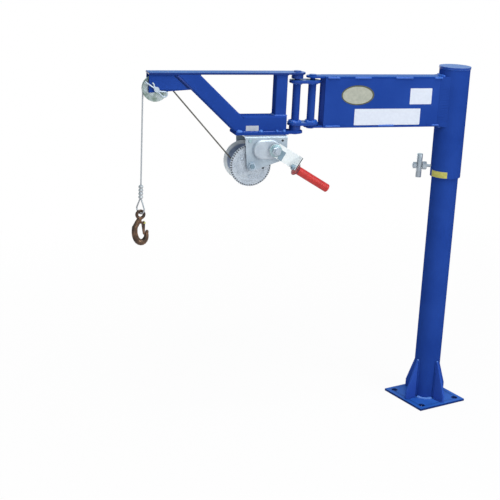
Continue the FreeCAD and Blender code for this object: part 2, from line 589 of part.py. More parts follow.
# Jib tubes, hollow, mitred where the bottom tube meets the diagonal
slope = math.radians(size("diag_angle"))
diag_blank = slab("diag_blank", "XZ_Plane",
                  [("-diag_left", "flange_low"), ("-diag_foot_left", "foot_top"),
                   ("-diag_foot_right", "foot_top"), ("-diag_right", "flange_low")],
                  "tube_side", "-tube_side / 2")
node(cut("jib_diagonal_tube",
         eased("diag_outside", diag_blank, "tube_corner",
               lengthwise(FreeCAD.Vector(-math.cos(slope), 0, math.sin(slope)))),
         [slab("diag_inside", "XZ_Plane",
               [("-bore_top_left", "bore_high"), ("-bore_foot_left", "bore_deep"),
                ("-bore_foot_right", "bore_deep"), ("-bore_top_right", "bore_high")],
               "tube_side - 2 * tube_wall", "tube_wall - tube_side / 2")]),
     "jib_diagonal_tube")
sill_blank = slab("sill_blank", "XZ_Plane",
                  [("-mitre_top", "tube_top"), ("-diag_foot_right", "foot_top"),
                   ("-upright_right", "foot_top"), ("-upright_right", "tube_top")],
                  "tube_side", "-tube_side / 2")
node(cut("jib_bottom_tube",
         eased("sill_outside", sill_blank, "tube_corner", lengthwise(ALONG)),
         [slab("sill_inside", "XZ_Plane",
               [("-duct_left", "duct_high"), ("-duct_left", "duct_low"),
                ("-duct_right", "duct_low"), ("-duct_right", "duct_high")],
               "tube_side - 2 * tube_wall", "tube_wall - tube_side / 2")]),
     "jib_bottom_tube")
upright_blank = box("upright_blank", ("upright_side", "upright_side", "flange_low - tube_top"),
                    ("-upright_right - upright_side", "-upright_side / 2", "tube_top"))
node(cut("jib_upright_tube",
         eased("upright_outside", upright_blank, "upright_corner", lengthwise(UP)),
         [box("upright_inside", ("upright_side - 2 * upright_wall", "upright_side - 2 * upright_wall",
                                 "flange_low - tube_top"),
              ("upright_wall - upright_right - upright_side", "upright_wall - upright_side / 2",
               "tube_top"))]),
     "jib_upright_tube")

# Head of the jib: two cheeks, axle and grooved sheave
for label, offset in (("jib_front_cheek", "cheek_inner"), ("jib_back_cheek", "-cheek_outer")):
    cheek = slab(label + "_blank", "XZ_Plane",
                 [("-cheek_left", "flange_low"), ("-cheek_left", "cheek_low"),
                  ("-cheek_right", "cheek_high"), ("-diag_left", "flange_low")], "cheek_thick", offset)
    node(cut(label, cheek, [rod(label + "_hole", "axle_dia + 2 * pin_play", "2 * cheek_outer",
                                ("-sheave_place", "-cheek_outer", "sheave_height"), "y")]), label)
node(joined("sheave_axle", [
    rod("axle_stem", "axle_dia", "axle_out + cheek_outer",
        ("-sheave_place", "-axle_out", "sheave_height"), "y"),
    rod("axle_cap", "axle_head_dia", "axle_head", ("-sheave_place", "cheek_outer", "sheave_height"), "y")]),
    "sheave_axle")
sheave = spun("sheave", "XY_Plane", "V_Axis", [
    ("sheave_hole", "-sheave_side"), ("sheave_rim", "-sheave_side"), ("sheave_rim", "-groove_mouth"),
    ("groove_root", "-groove_floor"), ("groove_root", "groove_floor"), ("sheave_rim", "groove_mouth"),
    ("sheave_rim", "sheave_side"), ("sheave_hole", "sheave_side")])
place(sheave, ("-sheave_place", "0", "sheave_height"))
node(sheave, "sheave")

# Wire rope: from the underside of the drum, over the sheave, and down
run_x = size("drum_place") - size("sheave_place")
run_z = size("sheave_height") - size("drum_height")
run_span = math.hypot(run_x, run_z)
run_cross = math.asin((size("rope_turn") + size("rope_lead")) / run_span)
run_slope = math.atan2(run_z, run_x) - run_cross
run_length = run_span * math.cos(run_cross)
run_start = FreeCAD.Vector(-size("drum_place") - size("rope_lead") * math.sin(run_slope), 0,
                           size("drum_height") + size("rope_lead") * math.cos(run_slope))
run_heading = FreeCAD.Vector(math.cos(run_slope), 0, math.sin(run_slope))
run_line = doc.addObject("Part::Cylinder", "run_line")
bind(run_line, "Radius", "rope_dia / 2")
run_line.Height = run_length
run_line.Placement = FreeCAD.Placement(run_start, FreeCAD.Rotation(UP, run_heading))
run_bend = doc.addObject("Part::Torus", "run_bend")
bind(run_bend, "Radius1", "rope_turn")
bind(run_bend, "Radius2", "rope_dia / 2")
run_bend.Angle3 = 3 * QUARTER - math.degrees(run_slope)
run_bend.Placement = FreeCAD.Placement(
    FreeCAD.Vector(-size("sheave_place"), 0, size("sheave_height")),
    FreeCAD.Rotation(ALONG, -QUARTER).multiply(FreeCAD.Rotation(UP, 2 * QUARTER)))
node(joined("rope_run", [run_line, run_bend]), "rope_run")
node(rod("rope_fall", "rope_dia", "sheave_height - fall_low", ("-fall_place", "0", "fall_low")),
     "rope_fall")

# Winch frame: one folded sheet hung under the bottom plate
frame_corners = [("-frame_left", "foot_low"), ("-frame_nose_left", "drum_height"),
                 ("-frame_nose_right", "frame_nose_low"), ("-frame_toe", "frame_toe_height"),
                 ("-frame_right", "frame_drop"), ("-frame_right", "foot_low")]
frame_blank = joined("frame_blank", [
    slab("frame_front_sheet", "XZ_Plane", frame_corners, "frame_sheet", "frame_front - frame_sheet"),
    slab("frame_back_sheet", "XZ_Plane", frame_corners, "frame_sheet", "-frame_back"),
    rod("frame_front_nose", "frame_nose_dia", "frame_sheet",
        ("-drum_place", "-frame_front", "drum_height"), "y"),
    rod("frame_back_nose", "frame_nose_dia", "frame_sheet",
        ("-drum_place", "frame_back - frame_sheet", "drum_height"), "y"),
    box("frame_top_sheet", ("frame_left - frame_right", "frame_front + frame_back", "frame_sheet"),
        ("-frame_left", "-frame_front", "frame_ceiling"))])
fold_height = size("foot_low") - size("skin")
frame_folded = eased("frame_folded", frame_blank, "frame_fold", lambda edge: (
    lengthwise(ALONG)(edge) and edge.CenterOfMass.z > fold_height and edge.Length > size("frame_nose_dia")))
frame_holes = [rod("frame_hole_" + end, "frame_hole_dia", "frame_sheet",
                   (spot, "-frame_front", "foot_low - frame_hole_drop"), "y")
               for end, spot in (("far", "frame_hole_inset - frame_left"),
                                 ("near", "-frame_right - frame_hole_inset"))]
node(cut("winch_frame", frame_folded, frame_holes + [
    rod("frame_axle_hole", "drum_axle_dia + 2 * pin_play", "frame_front + frame_back",
        ("-drum_place", "-frame_front", "drum_height"), "y"),
    rod("frame_shaft_hole", "shaft_dia + 2 * pin_play", "frame_front + frame_back",
        ("-crank_place", "-frame_front", "crank_height"), "y")]), "winch_frame")
node(joined("winch_axle", [
    rod("winch_axle_stem", "drum_axle_dia", "frame_front + frame_back",
        ("-drum_place", "-frame_front", "drum_height"), "y"),
    hexagon("winch_axle_front", "drum_nut_across", "drum_nut",
            ("-drum_place", "-frame_front - drum_nut", "drum_height"), "y"),
    hexagon("winch_axle_back", "drum_nut_across", "drum_nut",
            ("-drum_place", "frame_back", "drum_height"), "y")]),
    "winch_axle")
cover_blank = joined("cover_blank", [
    box("cover_middle", ("cover_pitch", "cover_rise", "cover_width"),
        ("-cover_place - cover_pitch / 2", "-frame_front - cover_rise", "cover_height - cover_width / 2")),
    rod("cover_far", "cover_width", "cover_rise",
        ("-cover_place - cover_pitch / 2", "-frame_front - cover_rise", "cover_height"), "y"),
    rod("cover_near", "cover_width", "cover_rise",
        ("cover_pitch / 2 - cover_place", "-frame_front - cover_rise", "cover_height"), "y")])
cover_face = -size("frame_front") - size("cover_rise") + size("skin")
cover_eased = eased("cover_eased", cover_blank, "cover_round", lambda edge: edge.BoundBox.YMax < cover_face)
node(cut("winch_cover", cover_eased, [
    rod("cover_hole", "shaft_dia + 2 * pin_play", "cover_rise",
        ("-crank_place", "-frame_front - cover_rise", "crank_height"), "y")]), "winch_cover")


def gear_wheel(name, teeth, front, thick, spot, turn):
    """Spur wheel with involute teeth, its axis along Y through spot."""
    module = size("gear_module")
    pitch = module * teeth / 2
    pressure = math.radians(20)
    base = pitch * math.cos(pressure)
    root = pitch - 1.25 * module
    tip = pitch + module
    half = math.pi / (2 * teeth) - size("gear_slack") / pitch
    involute = math.tan(pressure) - pressure
    steps = 4
    low = max(base, root)
    flank = []
    for i in range(steps + 1):
        radius = low + (tip - low) * i / steps
        angle = math.acos(min(1.0, base / radius))
        flank.append((radius, half + involute - (math.tan(angle) - angle)))
    body = doc.addObject("PartDesign::Body", name)
    sketch = body.newObject("Sketcher::SketchObject", name + "_teeth")
    plane = [p for p in body.Origin.OriginFeatures if p.Role == "XZ_Plane"][0]
    sketch.AttachmentSupport = [(plane, "")]
    sketch.MapMode = "FlatFace"
    if root < base:
        flank.insert(0, (root, flank[0][1]))
    rim = []
    for i in range(teeth):
        middle = turn + 2 * math.pi * i / teeth
        rim += [(radius, middle - angle) for radius, angle in flank]
        rim += [(radius, middle + angle) for radius, angle in reversed(flank)]
    spots = [FreeCAD.Vector(radius * math.cos(angle), radius * math.sin(angle), 0) for radius, angle in rim]
    sketch.addGeometry([Part.LineSegment(spots[i], spots[(i + 1) % len(spots)])
                        for i in range(len(spots))])
    bind(sketch, "AttachmentOffset.Base.x", spot[0])
    bind(sketch, "AttachmentOffset.Base.y", spot[1])
    bind(sketch, "AttachmentOffset.Base.z", front + " - " + thick)
    pad = body.newObject("PartDesign::Pad", name + "_pad")
    pad.Profile = sketch
    bind(pad, "Length", thick)
    return body


# Drum with its gear, and the crank shaft with its pinion
mesh_turn = math.radians(size("gear_rise"))
pinion_count = int(size("pinion_teeth"))
drum_spot = ("-drum_place", "drum_height")
node(cut("drum_gear",
         gear_wheel("gear_blank", int(size("gear_teeth")), "gear_front", "gear_thick",
                    drum_spot, mesh_turn),
         [rod("gear_bore", "drum_axle_dia + 2 * pin_play", "gear_thick",
              ("-drum_place", "-gear_front", "drum_height"), "y"),
          rod("gear_hole", "gear_hole_dia", "gear_thick",
              ("gear_hole_reach * cos(gear_hole_turn) - drum_place", "-gear_front",
               "drum_height + gear_hole_reach * sin(gear_hole_turn)"), "y")]), "drum_gear")
drum_blank = joined("drum_blank", [
    rod("drum_tube", "drum_core_dia", "drum_core_length",
        ("-drum_place", "-drum_front", "drum_height"), "y"),
    rod("drum_flange", "drum_flange_dia", "drum_flange_thick",
        ("-drum_place", "drum_back", "drum_height"), "y")])
node(cut("drum_core", drum_blank, [
    rod("drum_bore", "drum_axle_dia + 2 * pin_play", "drum_core_length + drum_flange_thick",
        ("-drum_place", "-drum_front", "drum_height"), "y")]), "drum_core")
node(cut("rope_wraps",
         rod("wrap_outside", "wrap_dia", "drum_core_length - 2 * wrap_margin",
             ("-drum_place", "wrap_margin - drum_front", "drum_height"), "y"),
         [rod("wrap_inside", "drum_core_dia + 2 * skin", "drum_core_length - 2 * wrap_margin",
              ("-drum_place", "wrap_margin - drum_front", "drum_height"), "y")]), "rope_wraps")
node(joined("crank_shaft", [
    rod("shaft_stem", "shaft_dia", "shaft_front + shaft_back",
        ("-crank_place", "-shaft_front", "crank_height"), "y"),
    gear_wheel("pinion_blank", pinion_count, "pinion_front", "pinion_thick",
               ("-crank_place", "crank_height"), mesh_turn + math.pi + math.pi / pinion_count)]),
    "crank_shaft")

# Crank bar with its bent tab, and the grip, made along +X and turned to their place
crank_spot = FreeCAD.Vector(-size("crank_place"), 0, size("crank_height"))
bar_blank = joined("bar_blank", [
    box("bar_flat", ("bar_reach", "bar_thick", "bar_low + bar_high"), ("0", "-bar_front", "-bar_low")),
    rod("bar_hub", "bar_hub_dia", "bar_thick", ("0", "-bar_front", "0"), "y"),
    box("bar_tab", ("bar_thick", "tab_out - bar_front + bar_thick", "bar_low + bar_high"),
        ("bar_reach - bar_thick", "-tab_out", "-bar_low"))])
crank_arm = cut("crank_arm", bar_blank, [
    rod("bar_hole", "shaft_dia + 2 * pin_play", "bar_thick", ("0", "-bar_front", "0"), "y")])
node(turned(crank_arm, ACROSS, size("crank_angle"), crank_spot), "crank_arm")
grip_blank = spun("grip_blank", "XY_Plane", "H_Axis", [
    ("bar_reach", "0"), ("bar_reach", "grip_flange"), ("grip_edge", "grip_flange"),
    ("grip_neck", "grip_collar"), ("grip_neck", "grip_radius"), ("grip_end", "grip_radius"),
    ("grip_end", "0")])
crank_grip = eased("grip_rounding", grip_blank, "grip_round", lambda edge: (
    edge.BoundBox.XMin > size("grip_end") - size("skin")))
grip_shift = FreeCAD.Placement(FreeCAD.Vector(0, -size("grip_out"), -size("grip_low")), FreeCAD.Rotation())
turned(crank_grip, ACROSS, size("crank_angle"), crank_spot)
crank_grip.Placement = crank_grip.Placement.multiply(grip_shift)
node(crank_grip, "crank_grip")


# Rope end, hook and latch
def ring(name, radius, bar, spot, axis, start=0, sweep=360):
    """Ring or arc of round bar; the arc starts at start degrees from +X."""
    item = doc.addObject("Part::Torus", name)
    bind(item, "Radius1", radius)
    bind(item, "Radius2", bar)
    item.Angle3 = sweep
    turns = {"x": TURNS["x"], "y": FreeCAD.Rotation(ALONG, QUARTER)}[axis]
    item.Placement = FreeCAD.Placement(FreeCAD.Vector(), turns.multiply(FreeCAD.Rotation(UP, start)))
    place(item, spot)
    return item


def stick(name, radius, foot, head):
    """Round bar between two points."""
    item = doc.addObject("Part::Cylinder", name)
    bind(item, "Radius", radius)
    item.Height = (head - foot).Length
    item.Placement = FreeCAD.Placement(foot, FreeCAD.Rotation(UP, head - foot))
    return item


node(rod("rope_ferrule", "ferrule_dia", "fall_low - ferrule_low", ("-fall_place", "0", "ferrule_low")),
     "rope_ferrule")
line = FreeCAD.Vector(-size("fall_place"), 0, 0)


def spot(step, height):
    """Point in the hook's middle plane, step in front of the hanging rope's line."""
    return line + FreeCAD.Vector(step, 0, size(height))


legs = [stick("loop_leg_%d" % side, "rope_dia / 2",
              FreeCAD.Vector(side * size("loop_radius"), 0, size("loop_height")),
              FreeCAD.Vector(side * size("rope_dia") / 2, 0, size("ferrule_low") + size("rope_dia")))
        for side in (-1, 1)]
loop = joined("loop", legs + [
    ring("loop_bend", "loop_radius", "rope_dia / 2", ("0", "0", "loop_height"), "y",
         2 * QUARTER, 2 * QUARTER)])
rope_eye = cut("rope_eye", loop, [
    box("loop_trim", ("2 * ferrule_dia", "2 * ferrule_dia", "2 * rope_dia"),
        ("-ferrule_dia", "-ferrule_dia", "ferrule_low"))])
node(turned(rope_eye, UP, size("loop_turn"), line), "rope_eye")


def section(name, bar, centre, heading):
    """Round section of the forged hook, square to its heading."""
    item = doc.addObject("Part::Circle", name)
    item.Radius = bar
    item.Placement = FreeCAD.Placement(centre, FreeCAD.Rotation(UP, heading))
    return item


def bowl_station(turn):
    """Bar radius, centre and heading in the oval bowl, which swells to its bottom and tapers to the tip."""
    bottom = 3 * QUARTER
    end, limit = ("back_bar", QUARTER) if turn < bottom else ("tip_bar", size("bowl_end") - bottom)
    share = min(abs(turn - bottom) / limit, 1)
    bar = size("bowl_bar") + (size(end) - size("bowl_bar")) * share ** 2
    angle, wide, deep = math.radians(turn), size("bowl_gap") + bar, size("bowl_drop") + bar
    centre = spot(size("bowl_step") + wide * math.cos(angle), "bowl_height") + UP * deep * math.sin(angle)
    return bar, centre, FreeCAD.Vector(-wide * math.sin(angle), 0, deep * math.cos(angle)).normalize()


neck = spot(size("neck_step"), "neck_height")
bowl_steps, neck_steps, tip_steps = 15, 3, 2
bowl_turn = (size("bowl_end") - size("bowl_start")) / (bowl_steps - 1)
bends = [bowl_station(size("bowl_start") + bowl_turn * i) for i in range(bowl_steps)]
back_radius, back, back_heading = bends[0]
neck_line = (back - neck).normalize()
stations = []
for i in range(neck_steps):
    share = i / neck_steps
    bar = size("neck_bar") + (back_radius - size("neck_bar")) * share
    stations.append((bar, neck + (back - neck) * share, neck_line + (back_heading - neck_line) * share))
tip_radius, tip, tip_heading = bends[-1]
stations += bends
for i in range(tip_steps + 1):
    angle = math.radians(QUARTER * i / (tip_steps + 0.5))
    stations.append((tip_radius * math.cos(angle),
                     tip + tip_heading * (size("tip_length") + tip_radius * math.sin(angle)), tip_heading))
hook_bar = doc.addObject("Part::Loft", "hook_bar")
hook_bar.Sections = [section("hook_section_%d" % i, *station) for i, station in enumerate(stations)]
hook_bar.Solid = True
hook_bar.Ruled = True
node(joined("hook_body", [
    ring("hook_eye", "eye_radius", "eye_bar", ("-fall_place", "0", "eye_height"), "y"),
    hook_bar,
    stick("hook_lug", "lug_bar", spot(-size("ear_root"), "lug_height"),
          spot(size("lug_tip"), "lug_height")),
    stick("hook_ear", "ear_bar", spot(-size("ear_root"), "latch_height"),
          spot(size("ear_tip"), "latch_height"))]), "hook_body")

# Latch: a channel with tapered sides, hung from its pivot
latch_web = box("latch_web", ("latch_thick", "latch_width", "latch_length"),
                ("-latch_thick / 2", "-latch_width / 2", "-latch_length"))
latch_curl = rod("latch_curl", "2 * latch_thick", "latch_width", ("0", "-latch_width / 2", "0"), "y")
latch_sides = [
    slab("latch_%s_side" % side, "XZ_Plane",
         [("-latch_deep", "0"), ("0", "0"), ("0", "-latch_length"), ("-latch_shallow", "-latch_length")],
         "latch_thick", offset)
    for side, offset in (("front", "latch_width / 2 - latch_thick"), ("back", "-latch_width / 2"))]
node(turned(joined("hook_latch", latch_sides + [latch_web, latch_curl]), ACROSS, size("latch_tilt"),
            spot(size("latch_step"), "latch_height")), "hook_latch")

doc.recompute()
for item in doc.Objects:
    if "Invalid" in item.State or "Error" in item.State:
        raise SystemExit("not built: " + item.Name)
os.makedirs("parts", exist_ok=True)
for item, label in NODES:
    shape = item.Shape
    if shape.isNull() or not shape.isValid() or not shape.Solids:
        raise SystemExit("no sound solid: " + label)
    shape.exportStep("parts/%s.step" % label)
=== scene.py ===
import bpy
import json
import math
import random
from mathutils import Matrix, Vector


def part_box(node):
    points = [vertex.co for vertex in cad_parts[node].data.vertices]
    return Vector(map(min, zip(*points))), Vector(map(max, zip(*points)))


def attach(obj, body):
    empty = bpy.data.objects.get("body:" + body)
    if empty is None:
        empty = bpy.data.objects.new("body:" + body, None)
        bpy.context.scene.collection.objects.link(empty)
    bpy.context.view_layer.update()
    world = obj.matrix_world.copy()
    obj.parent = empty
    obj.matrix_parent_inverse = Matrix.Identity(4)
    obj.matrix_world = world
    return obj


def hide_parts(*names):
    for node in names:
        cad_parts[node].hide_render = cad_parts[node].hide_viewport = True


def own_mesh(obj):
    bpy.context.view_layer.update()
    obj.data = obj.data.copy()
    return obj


# Bolt-down jib crane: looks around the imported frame. Metres, same axes as the frame:
# post along +Z, arm and jib along -X, crank side toward -Y.

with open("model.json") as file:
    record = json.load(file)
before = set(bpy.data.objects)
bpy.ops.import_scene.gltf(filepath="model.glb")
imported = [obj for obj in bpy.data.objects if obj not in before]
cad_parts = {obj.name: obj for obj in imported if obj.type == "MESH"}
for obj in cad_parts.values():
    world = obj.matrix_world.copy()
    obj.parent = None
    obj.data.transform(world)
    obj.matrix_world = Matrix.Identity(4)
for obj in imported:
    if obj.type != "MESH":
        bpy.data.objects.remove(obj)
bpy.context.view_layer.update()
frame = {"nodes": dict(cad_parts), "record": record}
NODES = frame["nodes"]
SEED = 7
dice = random.Random(SEED)

MM = 0.001
FULL_TURN, QUARTER_TURN = 2 * math.pi, math.pi / 2
FRONT, UP = Vector((0, -1, 0)), Vector((0, 0, 1))
# Keeps a laid-on piece clear of the face below it
LIFT_OFF = 0.05 * MM


def middle(node):
    low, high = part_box(node)
    return (low + high) / 2


def half_width(node):
    low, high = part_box(node)
    return (high.x - low.x) / 2


def level(angle):
    """Level direction, turned from +X toward +Y."""
    return Vector((math.cos(angle), math.sin(angle), 0))


def upright(angle):
    """Direction in the plane of X and Z, turned from +X toward +Z."""
    return Vector((math.cos(angle), 0, math.sin(angle)))


# Materials

WHITE, BLACK = (1.0, 1.0, 1.0), (0.0, 0.0, 0.0)


def linear(red, green, blue):
    """Screen colour from 0 to 255 as linear light."""
    return tuple((c / 255 / 12.92) if c <= 10 else ((c / 255 + 0.055) / 1.055) ** 2.4
                 for c in (red, green, blue))


def ranged(tree, source, low, high, start=0.0, end=1.0):
    """A value that runs from start to end, mapped to low and high."""
    made = tree.nodes.new("ShaderNodeMapRange")
    for key, value in (("From Min", start), ("From Max", end), ("To Min", low), ("To Max", high)):
        made.inputs[key].default_value = value
    tree.links.new(source, made.inputs["Value"])
    return made.outputs["Result"]


class Shader:
    """A node material with the few node kinds that the finishes here need."""

    def __init__(self, name, metallic=0.0):
        self.material = bpy.data.materials.new(name)
        self.material.use_nodes = True
        self.tree = self.material.node_tree
        self.nodes, self.links = self.tree.nodes, self.tree.links
        self.surface = self.nodes["Principled BSDF"]
        self.surface.inputs["Metallic"].default_value = metallic
        self.place = self.nodes.new("ShaderNodeTexCoord").outputs["Object"]

    def node(self, kind, place=None, **values):
        made = self.nodes.new(kind)
        for key, value in values.items():
            made.inputs[key.replace("_", " ")].default_value = value
        if place is not None:
            self.links.new(place, made.inputs["Vector"])
        return made

    def noise(self, scale, detail):
        made = self.node("ShaderNodeTexNoise", self.place, Scale=scale, Detail=detail)
        return made.outputs["Fac"]

    def cells(self, scale):
        return self.node("ShaderNodeTexVoronoi", self.place, Scale=scale).outputs["Color"]

    def share_of(self, vector, axis):
        return self.node("ShaderNodeSeparateXYZ", vector).outputs[axis]

    def ramp(self, source, stops):
        made = self.nodes.new("ShaderNodeValToRGB")
        track = made.color_ramp.elements
        while len(track) < len(stops):
            track.new(0.5)
        for element, (spot, colour) in zip(track, stops):
            element.position = spot
            element.color = (*colour, 1.0)
        self.links.new(source, made.inputs["Fac"])
        return made.outputs["Color"]

    def tones(self, source, dark, light, low=0.3, high=0.7):
        """Two screen colours over the middle of a noise."""
        return self.ramp(source, [(low, linear(*dark)), (high, linear(*light))])

    def mixed(self, kind, share, first, second):
        made = self.nodes.new("ShaderNodeMix")
        made.data_type = "RGBA"
        made.blend_type = kind
        if isinstance(share, float):
            made.inputs["Factor"].default_value = share
        else:
            self.links.new(share, made.inputs["Factor"])
        self.links.new(first, made.inputs[6])
        self.links.new(second, made.inputs[7])
        return made.outputs[2]

    def colour(self, source):
        self.links.new(source, self.surface.inputs["Base Color"])

    def rough(self, source, low, high):
        self.links.new(ranged(self.tree, source, low, high), self.surface.inputs["Roughness"])

    def bump(self, source, strength, depth):
        made = self.node("ShaderNodeBump", Strength=strength, Distance=depth)
        self.links.new(source, made.inputs["Height"])
        self.links.new(made.outputs["Normal"], self.surface.inputs["Normal"])


def blue_paint(name, dark, light, gloss, painted_top_light=None):
    """Powder coat: a slow drift of tone, fine specks and a slight orange peel.

    Faces that look up take two lighter tones where these are given: painted light on the tops.
    """
    paint = Shader(name)
    paint.surface.inputs["Specular IOR Level"].default_value = gloss
    cloud = paint.noise(7.0, 6.0)
    tone = paint.tones(cloud, dark, light)
    # Painted light: faces that look up blend into the lighter tones
    if painted_top_light:
        normal = paint.nodes.new("ShaderNodeNewGeometry").outputs["Normal"]
        upward = paint.ramp(paint.share_of(normal, "Z"), [(0.6, BLACK), (0.9, WHITE)])
        tone = paint.mixed("MIX", upward, tone, paint.tones(cloud, *painted_top_light))
    speck = paint.ramp(paint.noise(420.0, 2.0), [(0.35, (0.9, 0.9, 0.92)), (0.65, WHITE)])
    paint.colour(paint.mixed("MULTIPLY", 0.7, tone, speck))
    paint.rough(paint.noise(60.0, 5.0), 0.30, 0.44)
    paint.bump(paint.noise(260.0, 3.0), 0.10, 0.5 * MM)
    return paint.material


def plated(name, dark, light, metallic, grain=0.9):
    """Zinc plate: a mottled tone, grains as dark as grain says, crystal flakes and scratches."""
    zinc = Shader(name, metallic)
    tone = zinc.tones(zinc.noise(22.0, 6.0), dark, light)
    flake = zinc.ramp(zinc.cells(160.0), [(0.0, (0.9, 0.92, 0.95)), (1.0, (1.0, 1.0, 0.98))])
    speck = zinc.ramp(zinc.noise(330.0, 3.0), [(0.40, (grain, grain, grain)), (0.58, WHITE)])
    zinc.colour(zinc.mixed("MULTIPLY", 1.0, zinc.mixed("MULTIPLY", 0.6, tone, flake), speck))
    zinc.rough(zinc.noise(90.0, 5.0), 0.32, 0.50)
    zinc.bump(zinc.noise(340.0, 4.0), 0.12, 0.4 * MM)
    return zinc.material


def wire_rope(name, dark, light):
    """Stranded wire: a fine, streaky tone."""
    rope = Shader(name, metallic=0.6)
    rope.colour(rope.tones(rope.noise(900.0, 3.0), dark, light))
    rope.rough(rope.noise(300.0, 3.0), 0.36, 0.58)
    return rope.material


def turned_steel(name, centre, dark, light):
    """Lathe-turned disc with its axis along Y: fine rings, which fan the light out."""
    disc = Shader(name, metallic=0.8)
    shift = disc.node("ShaderNodeMapping", disc.place, Location=tuple(-centre))
    rings = disc.node("ShaderNodeTexWave", shift.outputs["Vector"], Scale=90.0, Distortion=0.3)
    rings.wave_type = "RINGS"
    rings.rings_direction = "Y"
    tangent = disc.nodes.new("ShaderNodeTangent")
    tangent.direction_type = "RADIAL"
    tangent.axis = "Y"
    disc.links.new(tangent.outputs["Tangent"], disc.surface.inputs["Tangent"])
    disc.surface.inputs["Anisotropic"].default_value = 0.75
    tone = disc.tones(disc.noise(60.0, 5.0), dark, light, 0.35, 0.65)
    groove = disc.ramp(rings.outputs["Fac"], [(0.2, (0.8, 0.8, 0.8)), (0.8, WHITE)])
    disc.colour(disc.mixed("MULTIPLY", 0.8, tone, groove))
    disc.rough(disc.noise(120.0, 4.0), 0.3, 0.44)
    disc.bump(rings.outputs["Fac"], 0.12, 0.3 * MM)
    return disc.material


# Radius and soft edge of the gear's painted shadow on the drum
GEAR_SHADOW_REACH, GEAR_SHADOW_EDGE = 52.4 * MM, 1.0 * MM


def gear_shadow_drum(name, centre):
    """Zinc drum along Y. Faces that do not look back are near white, painted light; within a radius
    of the axle a darker blue-grey on them is the gear's painted shadow.
    """
    drum = Shader(name, metallic=0.15)
    flat = drum.node("ShaderNodeMapping", drum.place, Scale=(1, 0, 1),
                     Location=(-centre.x, 0, -centre.z))
    distance = drum.node("ShaderNodeVectorMath")
    distance.operation = "LENGTH"
    drum.links.new(flat.outputs["Vector"], distance.inputs[0])
    within = drum.ramp(distance.outputs["Value"],
                       [(GEAR_SHADOW_REACH - GEAR_SHADOW_EDGE, WHITE), (GEAR_SHADOW_REACH, BLACK)])
    normal = drum.nodes.new("ShaderNodeTexCoord").outputs["Normal"]
    inner = drum.ramp(drum.share_of(normal, "Y"), [(0.3, WHITE), (0.6, BLACK)])
    cloud = drum.noise(70.0, 6.0)
    # Near-white tone on faces that do not look back: painted light
    bright = drum.tones(cloud, (232, 241, 244), (246, 250, 251))
    dull = drum.tones(cloud, (162, 173, 186), (190, 200, 210))
    gear_shadow = drum.tones(cloud, (134, 150, 180), (160, 176, 202))
    zinc = drum.mixed("MIX", inner, dull, bright)
    drum.colour(drum.mixed("MIX", drum.mixed("MULTIPLY", 1.0, within, inner), zinc, gear_shadow))
    drum.rough(drum.noise(150.0, 5.0), 0.34, 0.5)
    drum.bump(drum.noise(300.0, 4.0), 0.12, 0.4 * MM)
    return drum.material


def red_grip():
    """Moulded rubber with a fine grain."""
    grip = Shader("red_grip")
    grip.colour(grip.tones(grip.noise(35.0, 5.0), (176, 30, 28), (202, 44, 40)))
    grip.rough(grip.noise(200.0, 4.0), 0.36, 0.52)
    grip.bump(grip.noise(700.0, 3.0), 0.2, 0.4 * MM)
    return grip.material


def brown_steel():
    """Forged steel under worn brown lacquer."""
    brown = Shader("brown_steel", metallic=0.45)
    brown.colour(brown.ramp(brown.noise(46.0, 7.0), [
        (0.25, linear(34, 27, 25)), (0.5, linear(94, 70, 54)), (0.78, linear(178, 132, 98))]))
    brown.rough(brown.noise(160.0, 5.0), 0.2, 0.42)
    brown.bump(brown.noise(240.0, 6.0), 0.35, 0.8 * MM)
    return brown.material


def vinyl(name, light, dark):
    """Plain sticker stock: one tone with a faint mottle."""
    sheet = Shader(name)
    sheet.colour(sheet.tones(sheet.noise(130.0, 5.0), dark, light))
    sheet.rough(sheet.noise(70.0, 3.0), 0.38, 0.55)
    sheet.bump(sheet.noise(90.0, 3.0), 0.1, 0.4 * MM)
    return sheet.material


FINISHES = {
    "blue_paint": blue_paint("blue_paint", (31, 63, 144), (39, 73, 157), gloss=0.0),
    "zinc_plate": plated("zinc_plate", (172, 184, 198), (202, 211, 221), metallic=0.5),
    "wire_rope": wire_rope("wire_rope", (146, 150, 156), (204, 208, 214)),
    "red_grip": red_grip(),
    "brown_steel": brown_steel(),
}
# Lighter tones for faces that look up: painted light on the tops of parts
PAINTED_TOP_LIGHT = ((22, 78, 158), (34, 94, 174))
PAINTED_PLATE_TOP_LIGHT = ((34, 86, 176), (52, 106, 196))
# Lighter, glossier blue on weld beads: the lighter tone is a painted highlight, the gloss is the
# shader's own
WELD_PAINT = blue_paint("weld_paint", (22, 78, 172), (40, 98, 194), gloss=0.5)
# Plain blue with painted light on its up-facing faces
TOP_PAINT = blue_paint("top_paint", (23, 61, 145), (30, 71, 158), gloss=0.2, painted_top_light=PAINTED_TOP_LIGHT)
# Jib flange: darker blue on its sides, painted shade under the overhang, and painted light on its
# top
FLANGE_PAINT = blue_paint("flange_paint", (18, 44, 112), (24, 54, 126), gloss=0.16, painted_top_light=PAINTED_TOP_LIGHT)
# The same with less gloss for the arm's top plate: painted light on its top
ARM_TOP_PAINT = blue_paint("arm_top_paint", (23, 61, 145), (30, 71, 158), gloss=0.03, painted_top_light=PAINTED_TOP_LIGHT)
# A lighter copy of the blue on the gussets: painted light on faces in shade
GUSSET_PAINT = blue_paint("gusset_paint", (42, 77, 168), (52, 90, 182), gloss=0.0)
# Dark blue for painted shade: round the bolt holes and beside the cheek welds
DARK_SHADE_PAINT = blue_paint("dark_shade_paint", (20, 36, 84), (30, 50, 108), gloss=0.04)
# Lighter blue on the cheek welds: a painted highlight along the bead
CHEEK_PAINT = blue_paint("cheek_paint", (50, 70, 138), (62, 82, 152), gloss=0.0)
